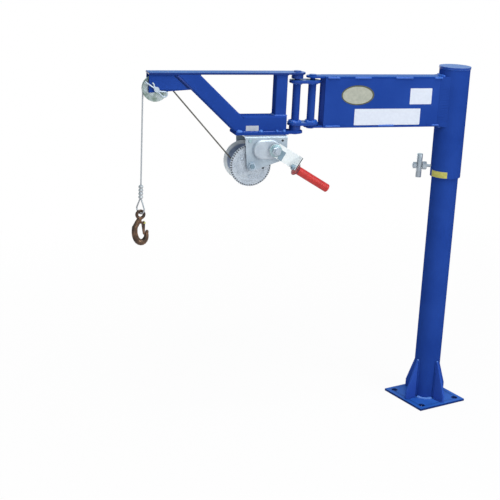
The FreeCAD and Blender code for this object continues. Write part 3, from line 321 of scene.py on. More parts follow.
# Still lighter blue on the post's foot weld and the jib's stitches: a painted highlight, with gloss
STITCH_PAINT = blue_paint("stitch_paint", (58, 108, 196), (86, 138, 216), gloss=0.5)
# Base plate: darker blue on its edges, painted shade, and painted light on its top
PLATE_PAINT = blue_paint("plate_paint", (16, 44, 108), (22, 54, 124), gloss=0.04, painted_top_light=PAINTED_PLATE_TOP_LIGHT)
# Lighter blue on the arm's end plate: painted light on a face in shade
END_PLATE_LIT_PAINT = blue_paint("end_plate_lit_paint", (50, 80, 170), (60, 91, 184), gloss=0.0)
OILED_ROPE = wire_rope("oiled_rope", (70, 68, 62), (126, 124, 118))
GEAR_ZINC = plated("gear_zinc", (182, 193, 207), (214, 222, 232), metallic=0.5, grain=0.66)
# Darker zinc: the drum axle bolt's own tone; painted shade on the sheet beside the crank's hub and,
# in part, on the grip's nut
DARK_ZINC = plated("dark_zinc", (116, 140, 156), (154, 176, 192), metallic=0.5)
# Dark zinc for the strip on the grip tab's edge: painted shade
TAB_SHADE_ZINC = plated("tab_shade_zinc", (54, 60, 64), (84, 90, 94), metallic=0.4)
# Near-white zinc with little metal on the crank arm: its glare painted in
PALE_ZINC = plated("pale_zinc", (232, 241, 244), (246, 250, 251), metallic=0.15)
FRAME_ZINC = plated("frame_zinc", (157, 172, 186), (189, 202, 214), metallic=0.5)
DULL_ZINC = plated("dull_zinc", (152, 162, 172), (186, 195, 204), metallic=0.5)
LIGHT_ZINC = plated("light_zinc", (174, 190, 206), (214, 226, 238), metallic=0.35)
TEAL_ZINC = plated("teal_zinc", (120, 152, 162), (186, 208, 214), metallic=0.55)
CRIMP_ZINC = plated("crimp_zinc", (158, 162, 168), (206, 209, 213), metallic=0.5)
SHADED_RED = vinyl("shaded_red_flange", (124, 52, 60), (92, 34, 42))
# Near black: painted shade in the gear's tooth gaps and in holes
PAINTED_SHADE_DARK = vinyl("painted_shade_dark", (46, 48, 54), (30, 32, 38))
SILVER_VINYL = vinyl("silver_vinyl", (188, 194, 204), (168, 175, 188))
WHITE_VINYL = vinyl("white_vinyl", (215, 223, 236), (208, 216, 230))
CREAM_VINYL = vinyl("cream_vinyl", (176, 179, 166), (158, 162, 150))
OLIVE_VINYL = vinyl("olive_vinyl", (84, 88, 60), (58, 62, 46))
YELLOW_VINYL = vinyl("yellow_vinyl", (198, 193, 96), (174, 171, 80))
GEAR_SHADOW_DRUM = gear_shadow_drum("gear_shadow_drum", middle("drum_core"))
TURNED_SHEAVE = turned_steel("turned_sheave", middle("sheave"), (130, 148, 138), (198, 208, 212))

GUSSETS = ("base_gusset_left", "base_gusset_front", "base_gusset_right", "base_gusset_back")
# Parts whose up-facing faces take the painted top light
TOP_LIT_PARTS = ("sleeve_cap", "link_top_plate", "link_bottom_plate", "jib_upper_collar",
              "jib_lower_collar", "arm_hinge_pin", "jib_hinge_pin")
OWN_FINISH = {
    **dict.fromkeys(GUSSETS, GUSSET_PAINT),
    **dict.fromkeys(TOP_LIT_PARTS, TOP_PAINT),
    "base_plate": PLATE_PAINT,
    "arm_top_plate": ARM_TOP_PAINT,
    "arm_end_plate": END_PLATE_LIT_PAINT,
    "jib_top_flange": FLANGE_PAINT,
    "sheave": TURNED_SHEAVE,
    "sheave_axle": LIGHT_ZINC,
    "clamp_screw": DULL_ZINC,
    "clamp_bar": DULL_ZINC,
    "crank_arm": PALE_ZINC,
    "drum_core": GEAR_SHADOW_DRUM,
    "drum_gear": GEAR_ZINC,
    "winch_frame": FRAME_ZINC,
    "winch_axle": LIGHT_ZINC,
}
slot_of = {part["node"]: part["material_slot"] for part in frame["record"]["subparts"]}
for name, item in NODES.items():
    item.data.materials.clear()
    item.data.materials.append(OWN_FINISH.get(name) or FINISHES[slot_of[name]])

# Edges of plates and pins are eased, as rolled and turned stock is
EASE_WIDTH, EASE_SEGMENTS, EASE_ANGLE, MERGE = 1.2 * MM, 2, math.radians(40), 0.01 * MM
EASED = GUSSETS + (
    "base_plate", "arm_top_plate", "arm_bottom_plate", "arm_front_plate", "arm_back_plate",
    "sleeve_cap", "link_top_plate", "link_bottom_plate", "jib_top_flange", "jib_bottom_plate",
    "jib_front_cheek", "jib_back_cheek", "arm_hinge_pin", "jib_hinge_pin", "clamp_bar",
    "sheave_axle")
for name in EASED:
    weld = NODES[name].modifiers.new("merge", "WELD")
    weld.merge_threshold = MERGE
    ease = NODES[name].modifiers.new("ease", "BEVEL")
    ease.width = EASE_WIDTH
    ease.segments = EASE_SEGMENTS
    ease.limit_method = "ANGLE"
    ease.angle_limit = EASE_ANGLE
    ease.harden_normals = True


# Mesh builders

def piece(name, body, slot, points, faces, material=None, smooth=True):
    """New mesh piece in the row frame, riding on one body."""
    mesh = bpy.data.meshes.new(name)
    mesh.from_pydata([tuple(p) for p in points], [], faces)
    mesh.validate()
    mesh.update()
    for polygon in mesh.polygons:
        polygon.use_smooth = smooth
    item = bpy.data.objects.new(name, mesh)
    bpy.context.scene.collection.objects.link(item)
    mesh.materials.append(material or FINISHES[slot])
    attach(item, body)
    return item


class Heap:
    """Several meshes gathered into one piece."""

    def __init__(self):
        self.points, self.faces = [], []

    def add(self, made):
        points, faces = made
        base = len(self.points)
        self.points += points
        self.faces += [tuple(base + k for k in face) for face in faces]

    def piece(self, name, body, slot, material=None, smooth=True):
        return piece(name, body, slot, self.points, self.faces, material, smooth)


def spaced(points, step, closed=False):
    """The same line with points about one step apart."""
    spots = [Vector(p) for p in points]
    if closed:
        spots.append(spots[0])
    made = []
    for start, end in zip(spots, spots[1:]):
        count = max(1, round((end - start).length / step))
        made += [start.lerp(end, i / count) for i in range(count)]
    if not closed:
        made.append(spots[-1])
    return made


STEEP = 0.9


def crosswise(direction):
    """A unit vector square to a direction."""
    guess = UP if abs(direction.z) < STEEP else Vector((1, 0, 0))
    return direction.cross(guess).normalized()


def frames_along(path, closed):
    """Two cross directions at each point, turned as little as possible."""
    count = len(path)
    made = []
    side = None
    for i in range(count):
        ahead = path[(i + 1) % count] if closed or i + 1 < count else path[i]
        behind = path[i - 1] if closed or i > 0 else path[i]
        tangent = (ahead - behind).normalized()
        if side is None:
            side = crosswise(tangent)
        side = (side - tangent * side.dot(tangent)).normalized()
        made.append((side, tangent.cross(side)))
    return made


def skinned(rings, closed=False):
    """Skin over a row of equal rings, closed into a loop or with a flat cap at both ends."""
    rows, count = len(rings), len(rings[0])
    points = [spot for ring in rings for spot in ring]
    faces = []
    for i in range(rows if closed else rows - 1):
        j = (i + 1) % rows
        for k in range(count):
            m = (k + 1) % count
            faces.append((i * count + k, i * count + m, j * count + m, j * count + k))
    if not closed:
        faces.append(tuple(range(count - 1, -1, -1)))
        faces.append(tuple((rows - 1) * count + k for k in range(count)))
    return points, faces


def sweep(path, radius_at, sides, closed=False):
    """Tube along a path; radius_at(step, angle) gives its skin."""
    angles = [FULL_TURN * k / sides for k in range(sides)]
    return skinned([[spot + (side * math.cos(angle) + up * math.sin(angle)) * radius_at(i, angle)
                     for angle in angles]
                    for i, (spot, (side, up)) in enumerate(zip(path, frames_along(path, closed)))],
                   closed)


def wire(path, radius, sides, closed=False):
    """Plain round tube along a path."""
    return sweep(path, lambda i, angle: radius, sides, closed)


def lathe(centre, axis, profile, sides, turn=0.0):
    """Turned solid: profile holds (distance along the axis, radius)."""
    axis = Vector(axis).normalized()
    side = crosswise(axis)
    up = axis.cross(side)
    angles = [turn + FULL_TURN * k / sides for k in range(sides)]
    return skinned([[Vector(centre) + axis * along
                     + (side * math.cos(angle) + up * math.sin(angle)) * radius
                     for angle in angles] for along, radius in profile])


def in_mm(pairs):
    return [(along * MM, radius * MM) for along, radius in pairs]


# Share of the nut's height, and of its corners' radius
NUT_PROFILE = [(0.0, 0.9), (0.12, 1.0), (0.86, 1.0), (1.0, 0.88)]


def nut(centre, axis, across, height, turn):
    """Hexagonal nut with its corners turned off at both faces."""
    corner = across / math.sqrt(3)
    return lathe(centre, axis, [(height * rise, corner * out) for rise, out in NUT_PROFILE],
                 sides=6, turn=turn)


BEAD_STEP, BEAD_SIDES, BEAD_TIP = 1.3 * MM, 8, 0.02
RIPPLE, RIPPLE_DROP = 4, 0.16


def bead(points, radius, closed=False, uneven=0.10):
    """Weld bead: a run of overlapping ripples, each a little different."""
    path = spaced(points, BEAD_STEP, closed)
    count = len(path)
    swell = [1.0 + dice.uniform(-uneven, uneven) for _ in range(count // RIPPLE + 2)]
    tail = max(2, round(radius / BEAD_STEP))

    def skin(i, angle):
        ripple = swell[i // RIPPLE] * (1.0 - RIPPLE_DROP * (i % RIPPLE) / (RIPPLE - 1))
        if closed:
            return radius * ripple
        inset = min(i, count - 1 - i)
        cap = math.sqrt(max(BEAD_TIP, 1 - (1 - min(1.0, inset / tail)) ** 2))
        return radius * ripple * cap

    return sweep(path, skin, BEAD_SIDES, closed)


def through(points, steps):
    """Smooth line through the points, with this many steps between two of them."""
    track = [points[0] * 2 - points[1]] + points + [points[-1] * 2 - points[-2]]
    line = []
    for before, start, end, after in zip(track, track[1:], track[2:], track[3:]):
        for i in range(steps):
            share = i / steps
            line.append((start * 2 + (end - before) * share
                         + (before * 2 - start * 5 + end * 4 - after) * share ** 2
                         + (start * 3 - before - end * 3 + after) * share ** 3) / 2)
    return line + [points[-1]]


def circle(centre, radius, count, start=0.0, turn=FULL_TURN):
    """Level arc; a full turn leaves out the repeated last point."""
    last = count if turn == FULL_TURN else count + 1
    return [Vector(centre) + level(start + turn * i / count) * radius for i in range(last)]


# Weld beads on the post's foot

plate_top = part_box("base_plate")[1].z
gusset_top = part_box("base_gusset_front")[1].z
post_radius = half_width("post_tube")
GUSSET_HALF, GUSSET_REACH, GUSSET_TURN = 4.0 * MM, 93.0 * MM, math.radians(20)
ARC_STEPS = 24
FOOT_BEAD, FOOT_BEAD_OUT, FOOT_BEAD_GAP, FOOT_UNEVEN = 6.2 * MM, 1.5 * MM, 0.05, 0.22
STANDING_SEAM, LYING_SEAM, SEAM_OUT = 3.2 * MM, 3.4 * MM, 1.2 * MM
SEAM_START, SEAM_END = 6 * MM, 1 * MM
CREST_BEAD, CREST_OUT = 3.4 * MM, 2.5 * MM

post_welds, post_seams = Heap(), Heap()
bare_arc = math.asin(GUSSET_HALF / post_radius) + FOOT_BEAD_GAP
for quarter in range(4):
    facing = GUSSET_TURN + quarter * QUARTER_TURN
    out, across = level(facing), level(facing + QUARTER_TURN)
    post_welds.add(bead(circle((0, 0, plate_top), post_radius + FOOT_BEAD_OUT, ARC_STEPS,
                               facing + bare_arc, QUARTER_TURN - 2 * bare_arc),
                        FOOT_BEAD, uneven=FOOT_UNEVEN))
    for hand in (-1, 1):
        edge = across * hand * (GUSSET_HALF + SEAM_OUT)
        foot = out * (post_radius + FOOT_BEAD_OUT) + edge
        toe = out * (GUSSET_REACH - SEAM_END) + edge
        post_seams.add(bead([foot + UP * (plate_top + SEAM_START),
                             foot + UP * (gusset_top - SEAM_END)], STANDING_SEAM))
        post_seams.add(bead([foot + UP * plate_top, toe + UP * plate_top], LYING_SEAM))
    crest = out * (post_radius + CREST_OUT) + UP * gusset_top
    post_welds.add(bead([crest - across * GUSSET_HALF, crest + across * GUSSET_HALF], CREST_BEAD))
post_welds.piece("post_welds", "post", "blue_paint", material=STITCH_PAINT)
post_seams.piece("post_seams", "post", "blue_paint")

# Dark rings round the bolt holes: painted shade of the holes
PLATE_TURN, BOLT_REACH = math.radians(15), 75 * MM
RIM_RADIUS, RIM_WIRE, RIM_SUNK, RIM_STEPS, RIM_SIDES = 10.3 * MM, 1.6 * MM, 1.1 * MM, 40, 8
rims = Heap()
for quarter in range(4):
    spot = level(PLATE_TURN + (quarter + 0.5) * QUARTER_TURN) * BOLT_REACH * math.sqrt(2)
    rims.add(wire(circle(spot + UP * (plate_top - RIM_SUNK), RIM_RADIUS, RIM_STEPS),
                  RIM_WIRE, RIM_SIDES, closed=True))
rims.piece("bolt_hole_shade_rims", "post", "blue_paint", material=DARK_SHADE_PAINT)


# Weld beads on the arm: stitches along its edges, and a flat fillet at the sleeve

half_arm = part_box("arm_back_plate")[1].y
arm_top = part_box("arm_top_plate")[1].z
arm_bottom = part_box("arm_bottom_plate")[0].z
sleeve_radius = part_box("sleeve_tube")[1].x
sleeve_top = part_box("sleeve_tube")[1].z
joint_x = -math.sqrt(sleeve_radius ** 2 - half_arm ** 2)
# Start and end of each stitch along X
TOP_STITCHES = [(-0.455, -0.412), (-0.363, -0.305), (-0.221, -0.158), (-0.083, -0.047)]
LOW_STITCHES = [(-0.455, -0.402), (-0.272, -0.214), (-0.080, -0.047)]
TOP_STITCH, TOP_DROP, LOW_STITCH, LOW_RISE = 4.2 * MM, 4.4 * MM, 3.6 * MM, 5.6 * MM
STITCH_OUT = 0.2 * MM
TOP_ARC, LOW_ARC, ARC_OUT, ARC_PAST = 5.0 * MM, 4.2 * MM, 2 * MM, 0.5 * MM
CAP_SEAM, CAP_SEAM_OUT, CAP_STEPS = 1.6 * MM, 0.3 * MM, 64
FILLET_LEG, FILLET_TURN, FILLET_STEPS, FILLET_SUNK = 18 * MM, math.radians(128), 6, 0.14
FILLET_RIPPLE, FILLET_UNEVEN = 0.07, 0.02


def sleeve_fillet(hand):
    """Flat weld between an arm side plate and the round sleeve, rippled along its height."""
    root = Vector((joint_x, hand * half_arm, 0))
    plate_toe = Vector((joint_x - FILLET_LEG, hand * half_arm, 0))
    sleeve_toe = level(hand * FILLET_TURN) * sleeve_radius
    slant = (sleeve_toe - plate_toe) * FILLET_SUNK
    rings = []
    count = round((arm_top - arm_bottom) / BEAD_STEP)
    for i in range(count + 1):
        lift = UP * (arm_bottom + (arm_top - arm_bottom) * i / count)
        ripple = 1.0 - FILLET_RIPPLE * (i % RIPPLE) / (RIPPLE - 1)
        swell = ripple + dice.uniform(-FILLET_UNEVEN, FILLET_UNEVEN)
        ring = [root + lift]
        for k in range(FILLET_STEPS + 1):
            spot = (plate_toe - slant).lerp(sleeve_toe + slant, k / FILLET_STEPS)
            ring.append(root + (spot - root) * swell + lift)
        rings.append(ring if hand > 0 else ring[::-1])
    return skinned(rings)


arm_welds, sleeve_fillets = Heap(), Heap()
for hand in (-1, 1):
    side = hand * (half_arm + STITCH_OUT)
    for stitches, height, size in ((TOP_STITCHES, arm_top - TOP_DROP, TOP_STITCH),
                                   (LOW_STITCHES, arm_bottom + LOW_RISE, LOW_STITCH)):
        for start, end in stitches:
            arm_welds.add(bead([(start, side, height), (end, side, height)], size))
    sleeve_fillets.add(sleeve_fillet(hand))
half_arc = math.asin(half_arm / sleeve_radius)
for height, size in ((arm_top + ARC_PAST, TOP_ARC), (arm_bottom - ARC_PAST, LOW_ARC)):
    arm_welds.add(bead(circle((0, 0, height), sleeve_radius + ARC_OUT, ARC_STEPS,
                              math.pi - half_arc, 2 * half_arc), size))
arm_welds.add(bead(circle((0, 0, sleeve_top), sleeve_radius + CAP_SEAM_OUT, CAP_STEPS),
                   CAP_SEAM, closed=True))
arm_welds.piece("arm_welds", "arm", "blue_paint", material=WELD_PAINT)
sleeve_fillets.piece("sleeve_fillets", "arm", "blue_paint")

# Weld beads on the link; each row holds the distance from the barrel, radius and unevenness
BARREL_STEPS = 40
BARREL_FOOT, BARREL_HEAD = (2.0 * MM, 6.6 * MM, 0.34), (1.2 * MM, 4.2 * MM, 0.30)
link_welds = Heap()
for node in ("link_arm_barrel", "link_jib_barrel"):
    spot, radius = middle(node), half_width(node)
    for end, (out, size, uneven) in zip(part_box(node), (BARREL_FOOT, BARREL_HEAD)):
        link_welds.add(bead(circle((spot.x, spot.y, end.z), radius + out, BARREL_STEPS),
                            size, True, uneven))
link_welds.piece("link_welds", "link", "blue_paint", material=WELD_PAINT)


# Weld beads on the jib

tube_low, tube_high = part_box("jib_bottom_tube")
up_low, up_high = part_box("jib_upright_tube")
cheek_low, cheek_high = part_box("jib_front_cheek")
diag_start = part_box("jib_diagonal_tube")[0].x
flange_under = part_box("jib_top_flange")[0].z
plate_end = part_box("jib_bottom_plate")[0].x
SLOPE = math.radians(43)
half_tube, tube_top, foot_top = tube_high.y, tube_high.z, tube_low.z
diag_step = half_tube * 2 / math.sin(SLOPE)
mitre_top = tube_low.x
mitre_low = mitre_top + (tube_top - foot_top) / math.tan(SLOPE)
JIB_BEAD, JIB_BEAD_IN, JIB_BEAD_START = 3.8 * MM, 2.5 * MM, 4 * MM
# Place of each stitch as a share of the foot's length, and half of its own length
FOOT_STITCHES = [(0.08, 10 * MM), (0.50, 7 * MM), (0.82, 5 * MM), (0.955, 6 * MM)]
FOOT_STITCH, FOOT_OUT, FOOT_RISE, STITCH_UNEVEN = 6.2 * MM, 1.2 * MM, 1.5 * MM, 0.25
GROUND_HALF, GROUND_DEEP, GROUND_PROUD = 6 * MM, 7 * MM, 0.06 * MM
GROUND_START, GROUND_END = 9 * MM, 2 * MM
CHEEK_SEAM, CHEEK_SEAM_IN, CHEEK_OUT = 2.8 * MM, 4 * MM, 0.6 * MM
CHEEK_WELD, CHEEK_DROP, CHEEK_SHIFT = 3.6 * MM, 3 * MM, Vector((3 * MM, 0, 0))
# A dark bead beside each cheek weld: painted shade of the seam
CHEEK_SHADE, CHEEK_SHADE_BACK, CHEEK_SHADE_IN, CHEEK_SHADE_END = 2.3 * MM, 6.5 * MM, 1.4 * MM, 0.06
UPRIGHT_BEAD, CROSS_SEAM = 3.0 * MM, 3.2 * MM
COLLAR_SEAM, COLLAR_OUT, COLLAR_STEPS = 2.6 * MM, 0.6 * MM, 48


def ground_weld(start, end, hand):
    """Weld ground flush with the tubes' faces, filling the groove between their round corners."""
    along = (end - start).normalized()
    face = Vector((0, hand, 0))
    half = along.cross(face) * GROUND_HALF
    top, root = face * GROUND_PROUD, face * (GROUND_PROUD - GROUND_DEEP)
    return skinned([[spot - half + root, spot - half + top, spot + half + top, spot + half + root]
                    for spot in (start + along * GROUND_START, end - along * GROUND_END)])


jib_welds, jib_seams, jib_stitches, jib_fills = Heap(), Heap(), Heap(), Heap()
cheek_welds, cheek_shade_lines = Heap(), Heap()
for hand in (-1, 1):
    side = hand * half_tube
    line = side - hand * JIB_BEAD_IN
    jib_welds.add(bead([(plate_end + JIB_BEAD_START, line, foot_top),
                        (tube_high.x, line, foot_top)], JIB_BEAD))
    line, height = side + hand * FOOT_OUT, foot_top + FOOT_RISE
    for share, half in FOOT_STITCHES:
        x = plate_end + share * (tube_high.x - plate_end)
        jib_stitches.add(bead([(x - half, line, height), (x + half, line, height)],
                              FOOT_STITCH, uneven=STITCH_UNEVEN))
    jib_fills.add(ground_weld(Vector((mitre_top, side, tube_top)),
                              Vector((mitre_low, side, foot_top)), hand))
    line = hand * (abs(cheek_low.y) + CHEEK_OUT)
    jib_seams.add(bead([(cheek_low.x + CHEEK_SEAM_IN, line, flange_under),
                        (diag_start - CHEEK_SEAM_IN, line, flange_under)], CHEEK_SEAM))
    seam_drop = (cheek_high.x - diag_start) * math.tan(SLOPE)
    seam_top = Vector((diag_start, line, flange_under - CHEEK_DROP))
    seam_foot = Vector((cheek_high.x, line, flange_under - seam_drop))
    cheek_welds.add(bead([seam_top + CHEEK_SHIFT, seam_foot + CHEEK_SHIFT], CHEEK_WELD))
    # Dark bead a little behind each cheek weld: painted shade
    shift = Vector((-CHEEK_SHADE_BACK, -hand * CHEEK_SHADE_IN, 0))
    cheek_shade_lines.add(bead([seam_top + shift, seam_foot.lerp(seam_top, CHEEK_SHADE_END) + shift],
                       CHEEK_SHADE))
half_up = up_high.y
corners = [(up_low.x, -half_up), (up_high.x, -half_up), (up_high.x, half_up), (up_low.x, half_up)]
for heap, height in ((jib_welds, tube_top), (jib_seams, flange_under)):
    heap.add(bead([(x, y, height) for x, y in corners], UPRIGHT_BEAD, closed=True))
for x, height in ((diag_start, flange_under), (diag_start + diag_step, flange_under),
                  (mitre_top, tube_top)):
    jib_seams.add(bead([(x, -half_tube, height), (x, half_tube, height)], CROSS_SEAM))
for node, end in (("jib_upper_collar", 1), ("jib_lower_collar", 0)):
    spot = Vector((middle(node).x, 0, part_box(node)[end].z))
    jib_seams.add(bead(circle(spot, half_width(node) + COLLAR_OUT, COLLAR_STEPS),
                       COLLAR_SEAM, closed=True))
jib_welds.piece("jib_welds", "jib", "blue_paint", material=WELD_PAINT)
jib_seams.piece("jib_seams", "jib", "blue_paint")
cheek_welds.piece("cheek_welds", "jib", "blue_paint", material=CHEEK_PAINT)
cheek_shade_lines.piece("cheek_shade_lines", "jib", "blue_paint", material=DARK_SHADE_PAINT)
jib_stitches.piece("jib_stitches", "jib", "blue_paint", material=STITCH_PAINT)
jib_fills.piece("jib_mitre_fill", "jib", "blue_paint", smooth=False)


# Stickers with nothing printed on them

STICKER = 0.35 * MM
CORNER, CORNER_STEPS, OVAL_STEPS = 1.5 * MM, 5, 56


def sticker(name, body, corners, material):
    """Thin flat sheet from its outline; corners run round its visible side."""
    spots = [Vector(c) for c in corners]
    normal = (spots[1] - spots[0]).cross(spots[2] - spots[1]).normalized()
    made = skinned([[p + normal * rise for p in spots] for rise in (LIFT_OFF, STICKER)])
    return piece(name, body, None, *made, material, smooth=False)


def panel(left, right, low, high, face):
    """Outline of a panel on the side that faces -Y, with round corners."""
    outline = []
    for x, z, start in ((right - CORNER, low + CORNER, -90), (right - CORNER, high - CORNER, 0),
                        (left + CORNER, high - CORNER, 90), (left + CORNER, low + CORNER, 180)):
        for i in range(CORNER_STEPS + 1):
            angle = math.radians(start + 90 * i / CORNER_STEPS)
            outline.append(Vector((x, face, z)) + upright(angle) * CORNER)
    return outline


def oval(x, z, wide, tall, face):
    angles = [FULL_TURN * i / OVAL_STEPS for i in range(OVAL_STEPS)]
    return [(x + wide * math.cos(angle), face, z + tall * math.sin(angle)) for angle in angles]


# Left, right, low and high of each panel; middle and half sizes of each oval
face = -half_arm
sticker("arm_long_sticker", "arm", panel(-0.3555, -0.1245, 0.9865, 1.0395, face), WHITE_VINYL)
sticker("arm_small_sticker", "arm", panel(-0.1650, -0.0880, 1.0535, 1.1055, face), WHITE_VINYL)
sticker("arm_oval_rim", "arm", oval(-0.3479, 1.0838, 0.0565, 0.0322, face), OLIVE_VINYL)
sticker("arm_oval_sticker", "arm", oval(-0.3490, 1.0835, 0.0515, 0.0280, face - STICKER),
        CREAM_VINYL)
sticker("jib_small_sticker", "jib", panel(-0.7185, -0.6765, 0.9725, 0.9890, face), SILVER_VINYL)

# Band that follows the sleeve
BAND_LOW, BAND_HIGH, BAND_STEPS = 0.8065, 0.8275, 24
BAND_START, BAND_END = math.radians(182), math.radians(251)
inner, outer = sleeve_radius + LIFT_OFF, sleeve_radius + STICKER
band = []
for i in range(BAND_STEPS + 1):
    out = level(BAND_START + (BAND_END - BAND_START) * i / BAND_STEPS)
    band.append([out * inner + UP * BAND_LOW, out * inner + UP * BAND_HIGH,
                 out * outer + UP * BAND_HIGH, out * outer + UP * BAND_LOW])
piece("sleeve_sticker", "arm", None, *skinned(band), YELLOW_VINYL, smooth=False)


# Wire rope: six strands laid round each other

STRANDS, LAY, STRAND_FLOOR, STRAND_SWELL = 6, 32 * MM, 0.86, 0.14
ROPE_STEP, ROPE_SIDES = 2.2 * MM, 24
fall_low, fall_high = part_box("rope_fall")
rope_radius = (fall_high.y - fall_low.y) / 2


def rope(points):
    """Taut rope along a line."""
    path = spaced(points, ROPE_STEP)
    run = [0.0]
    for start, end in zip(path, path[1:]):
        run.append(run[-1] + (end - start).length)

    def skin(i, angle):
        twist = STRANDS / 2 * (angle - FULL_TURN * run[i] / LAY)
        return rope_radius * (STRAND_FLOOR + STRAND_SWELL * abs(math.cos(twist)))

    return sweep(path, skin, ROPE_SIDES)


# The fall hangs straight from the sheave's side down to the hook
fall_x = (fall_low.x + fall_high.x) / 2
fall_made = rope([(fall_x, 0, fall_high.z), (fall_x, 0, fall_low.z)])
rope_fall = piece("rope_fall_strands", "jib", "wire_rope", *fall_made)
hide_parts("rope_fall")
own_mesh(rope_fall)

# The run leaves the drum's lower far side and goes over the sheave
DRUM_LEAD, BEND_STEPS = 30 * MM, 60
sheave_spot, drum_spot = middle("sheave"), middle("drum_gear")
sheave_spot.y = drum_spot.y = 0
turn_radius = sheave_spot.x - fall_x
span = sheave_spot - drum_spot
cross = math.asin((turn_radius + DRUM_LEAD) / span.length)
away = upright(math.atan2(span.z, span.x) - cross + QUARTER_TURN)
bend_start = math.atan2(-away.z, -away.x)
bend_turn = math.pi - bend_start
run_path = [drum_spot + away * DRUM_LEAD]
for i in range(BEND_STEPS + 1):
    run_path.append(sheave_spot + upright(bend_start + bend_turn * i / BEND_STEPS) * turn_radius)
rope_run = piece("rope_run_strands", "jib", "wire_rope", *rope(run_path), material=OILED_ROPE)
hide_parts("rope_run")

# Loop through the hook's eye
LOOP_TURN, LOOP_RADIUS, LOOP_STEPS = math.radians(-60), 17.5 * MM, 24
ferrule_low, ferrule_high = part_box("rope_ferrule")
loop_out = level(LOOP_TURN)
loop_top = Vector((fall_x, 0, ferrule_low.z))
loop_middle = Vector((fall_x, 0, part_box("rope_eye")[0].z + rope_radius + LOOP_RADIUS))
loop_path = [loop_top - loop_out * rope_radius]
for i in range(LOOP_STEPS + 1):
    angle = math.pi + math.pi * i / LOOP_STEPS
    loop_path.append(loop_middle
                     + (loop_out * math.cos(angle) + UP * math.sin(angle)) * LOOP_RADIUS)
loop_path.append(loop_top + loop_out * rope_radius)
rope_loop = piece("rope_eye_strands", "hook", "wire_rope", *rope(loop_path))
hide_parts("rope_eye")

# Crimped sleeve on the rope's end
CRIMPS, CRIMP_STEPS, CRIMP_SIDES = 4, 10, 28
CRIMP_NECK, CRIMP_SWELL, CRIMP_ROUND = 4.2 * MM, 3.4 * MM, 0.7
crimp = []
for i in range(CRIMPS * CRIMP_STEPS + 1):
    share = i / (CRIMPS * CRIMP_STEPS)
    swell = abs(math.sin(math.pi * CRIMPS * share)) ** CRIMP_ROUND
    crimp.append(((ferrule_high.z - ferrule_low.z) * share, CRIMP_NECK + CRIMP_SWELL * swell))
sleeve = piece("rope_crimp", "hook", "wire_rope", *lathe(loop_top, UP, crimp, CRIMP_SIDES),
               material=CRIMP_ZINC)
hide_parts("rope_ferrule")

# Rope wound on the drum
WRAP_PITCH, WRAP_POINTS, WRAP_SIDES = 5.0 * MM, 40, 10
wrap_low, wrap_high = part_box("rope_wraps")
wrap_radius = half_width("rope_wraps") - rope_radius
wrap_turns = (wrap_high.y - wrap_low.y - 2 * rope_radius) / WRAP_PITCH
wrap_path = []
for i in range(int(wrap_turns * WRAP_POINTS) + 1):
    spot = drum_spot + upright(FULL_TURN * i / WRAP_POINTS) * wrap_radius
    spot.y = wrap_low.y + rope_radius + WRAP_PITCH * i / WRAP_POINTS
    wrap_path.append(spot)
wound = piece("rope_wrap_strands", "drum", "wire_rope", *wire(wrap_path, rope_radius, WRAP_SIDES))
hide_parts("rope_wraps")


# Split pin through the front end of the sheave's axle

PIN_WIRE, PIN_SIDES, PIN_STEPS, PIN_INSET = 2.3 * MM, 10, 6, 4 * MM
# Long leg, eye and short bent leg, in mm along X and Z from the axle's middle
PIN_BENDS = [(-34.5, 22.7), (-17.4, 11.3), (0, -1.3), (7.9, -10.4), (17.3, -19.6), (25.4, -23.2),
             (31.6, -19.5), (33.6, -12.9), (28.6, -7.2), (18.6, -6.4), (7.9, -4.6), (0, 2.2),
             (-7.4, 9.2), (-8.4, 15.7), (-13.5, 20.4)]
pin_spot = Vector((sheave_spot.x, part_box("sheave_axle")[0].y + PIN_INSET, sheave_spot.z))
pin_path = through([pin_spot + Vector((x, 0, z)) * MM for x, z in PIN_BENDS], PIN_STEPS)
piece("split_pin", "jib", "zinc_plate", *wire(pin_path, PIN_WIRE, PIN_SIDES), material=LIGHT_ZINC)


# Crank: washer and lock nut on its hub

CRANK_TURN = math.radians(31)
crank_out = Vector((math.cos(CRANK_TURN), 0, -math.sin(CRANK_TURN)))
crank_up = Vector((math.sin(CRANK_TURN), 0, math.cos(CRANK_TURN)))
crank_spot = middle("crank_shaft")
crank_spot.y = 0
BAR_FRONT = 76 * MM
HUB_WASHER = in_mm([(0.05, 20.2), (1.2, 20.2), (1.8, 19.4)])
HUB_BOSS, BOSS_RISE = in_mm([(0, 16.5), (1.6, 16.5), (2.2, 15.6)]), 1.7 * MM
HUB_NUT, HUB_NUT_HIGH, HUB_NUT_RISE, HUB_NUT_TURN = 26 * MM, 11 * MM, 3.8 * MM, 0.3
hub = crank_spot + FRONT * BAR_FRONT
hub_washer = Heap()
hub_washer.add(lathe(hub, FRONT, HUB_WASHER, sides=48))
hub_washer.add(lathe(hub + FRONT * BOSS_RISE, FRONT, HUB_BOSS, sides=40))
hub_washer.piece("hub_washer", "crank", "zinc_plate", material=TEAL_ZINC)
piece("crank_hardware", "crank", "zinc_plate",
      *nut(hub + FRONT * HUB_NUT_RISE, FRONT, HUB_NUT, HUB_NUT_HIGH, HUB_NUT_TURN), smooth=False)

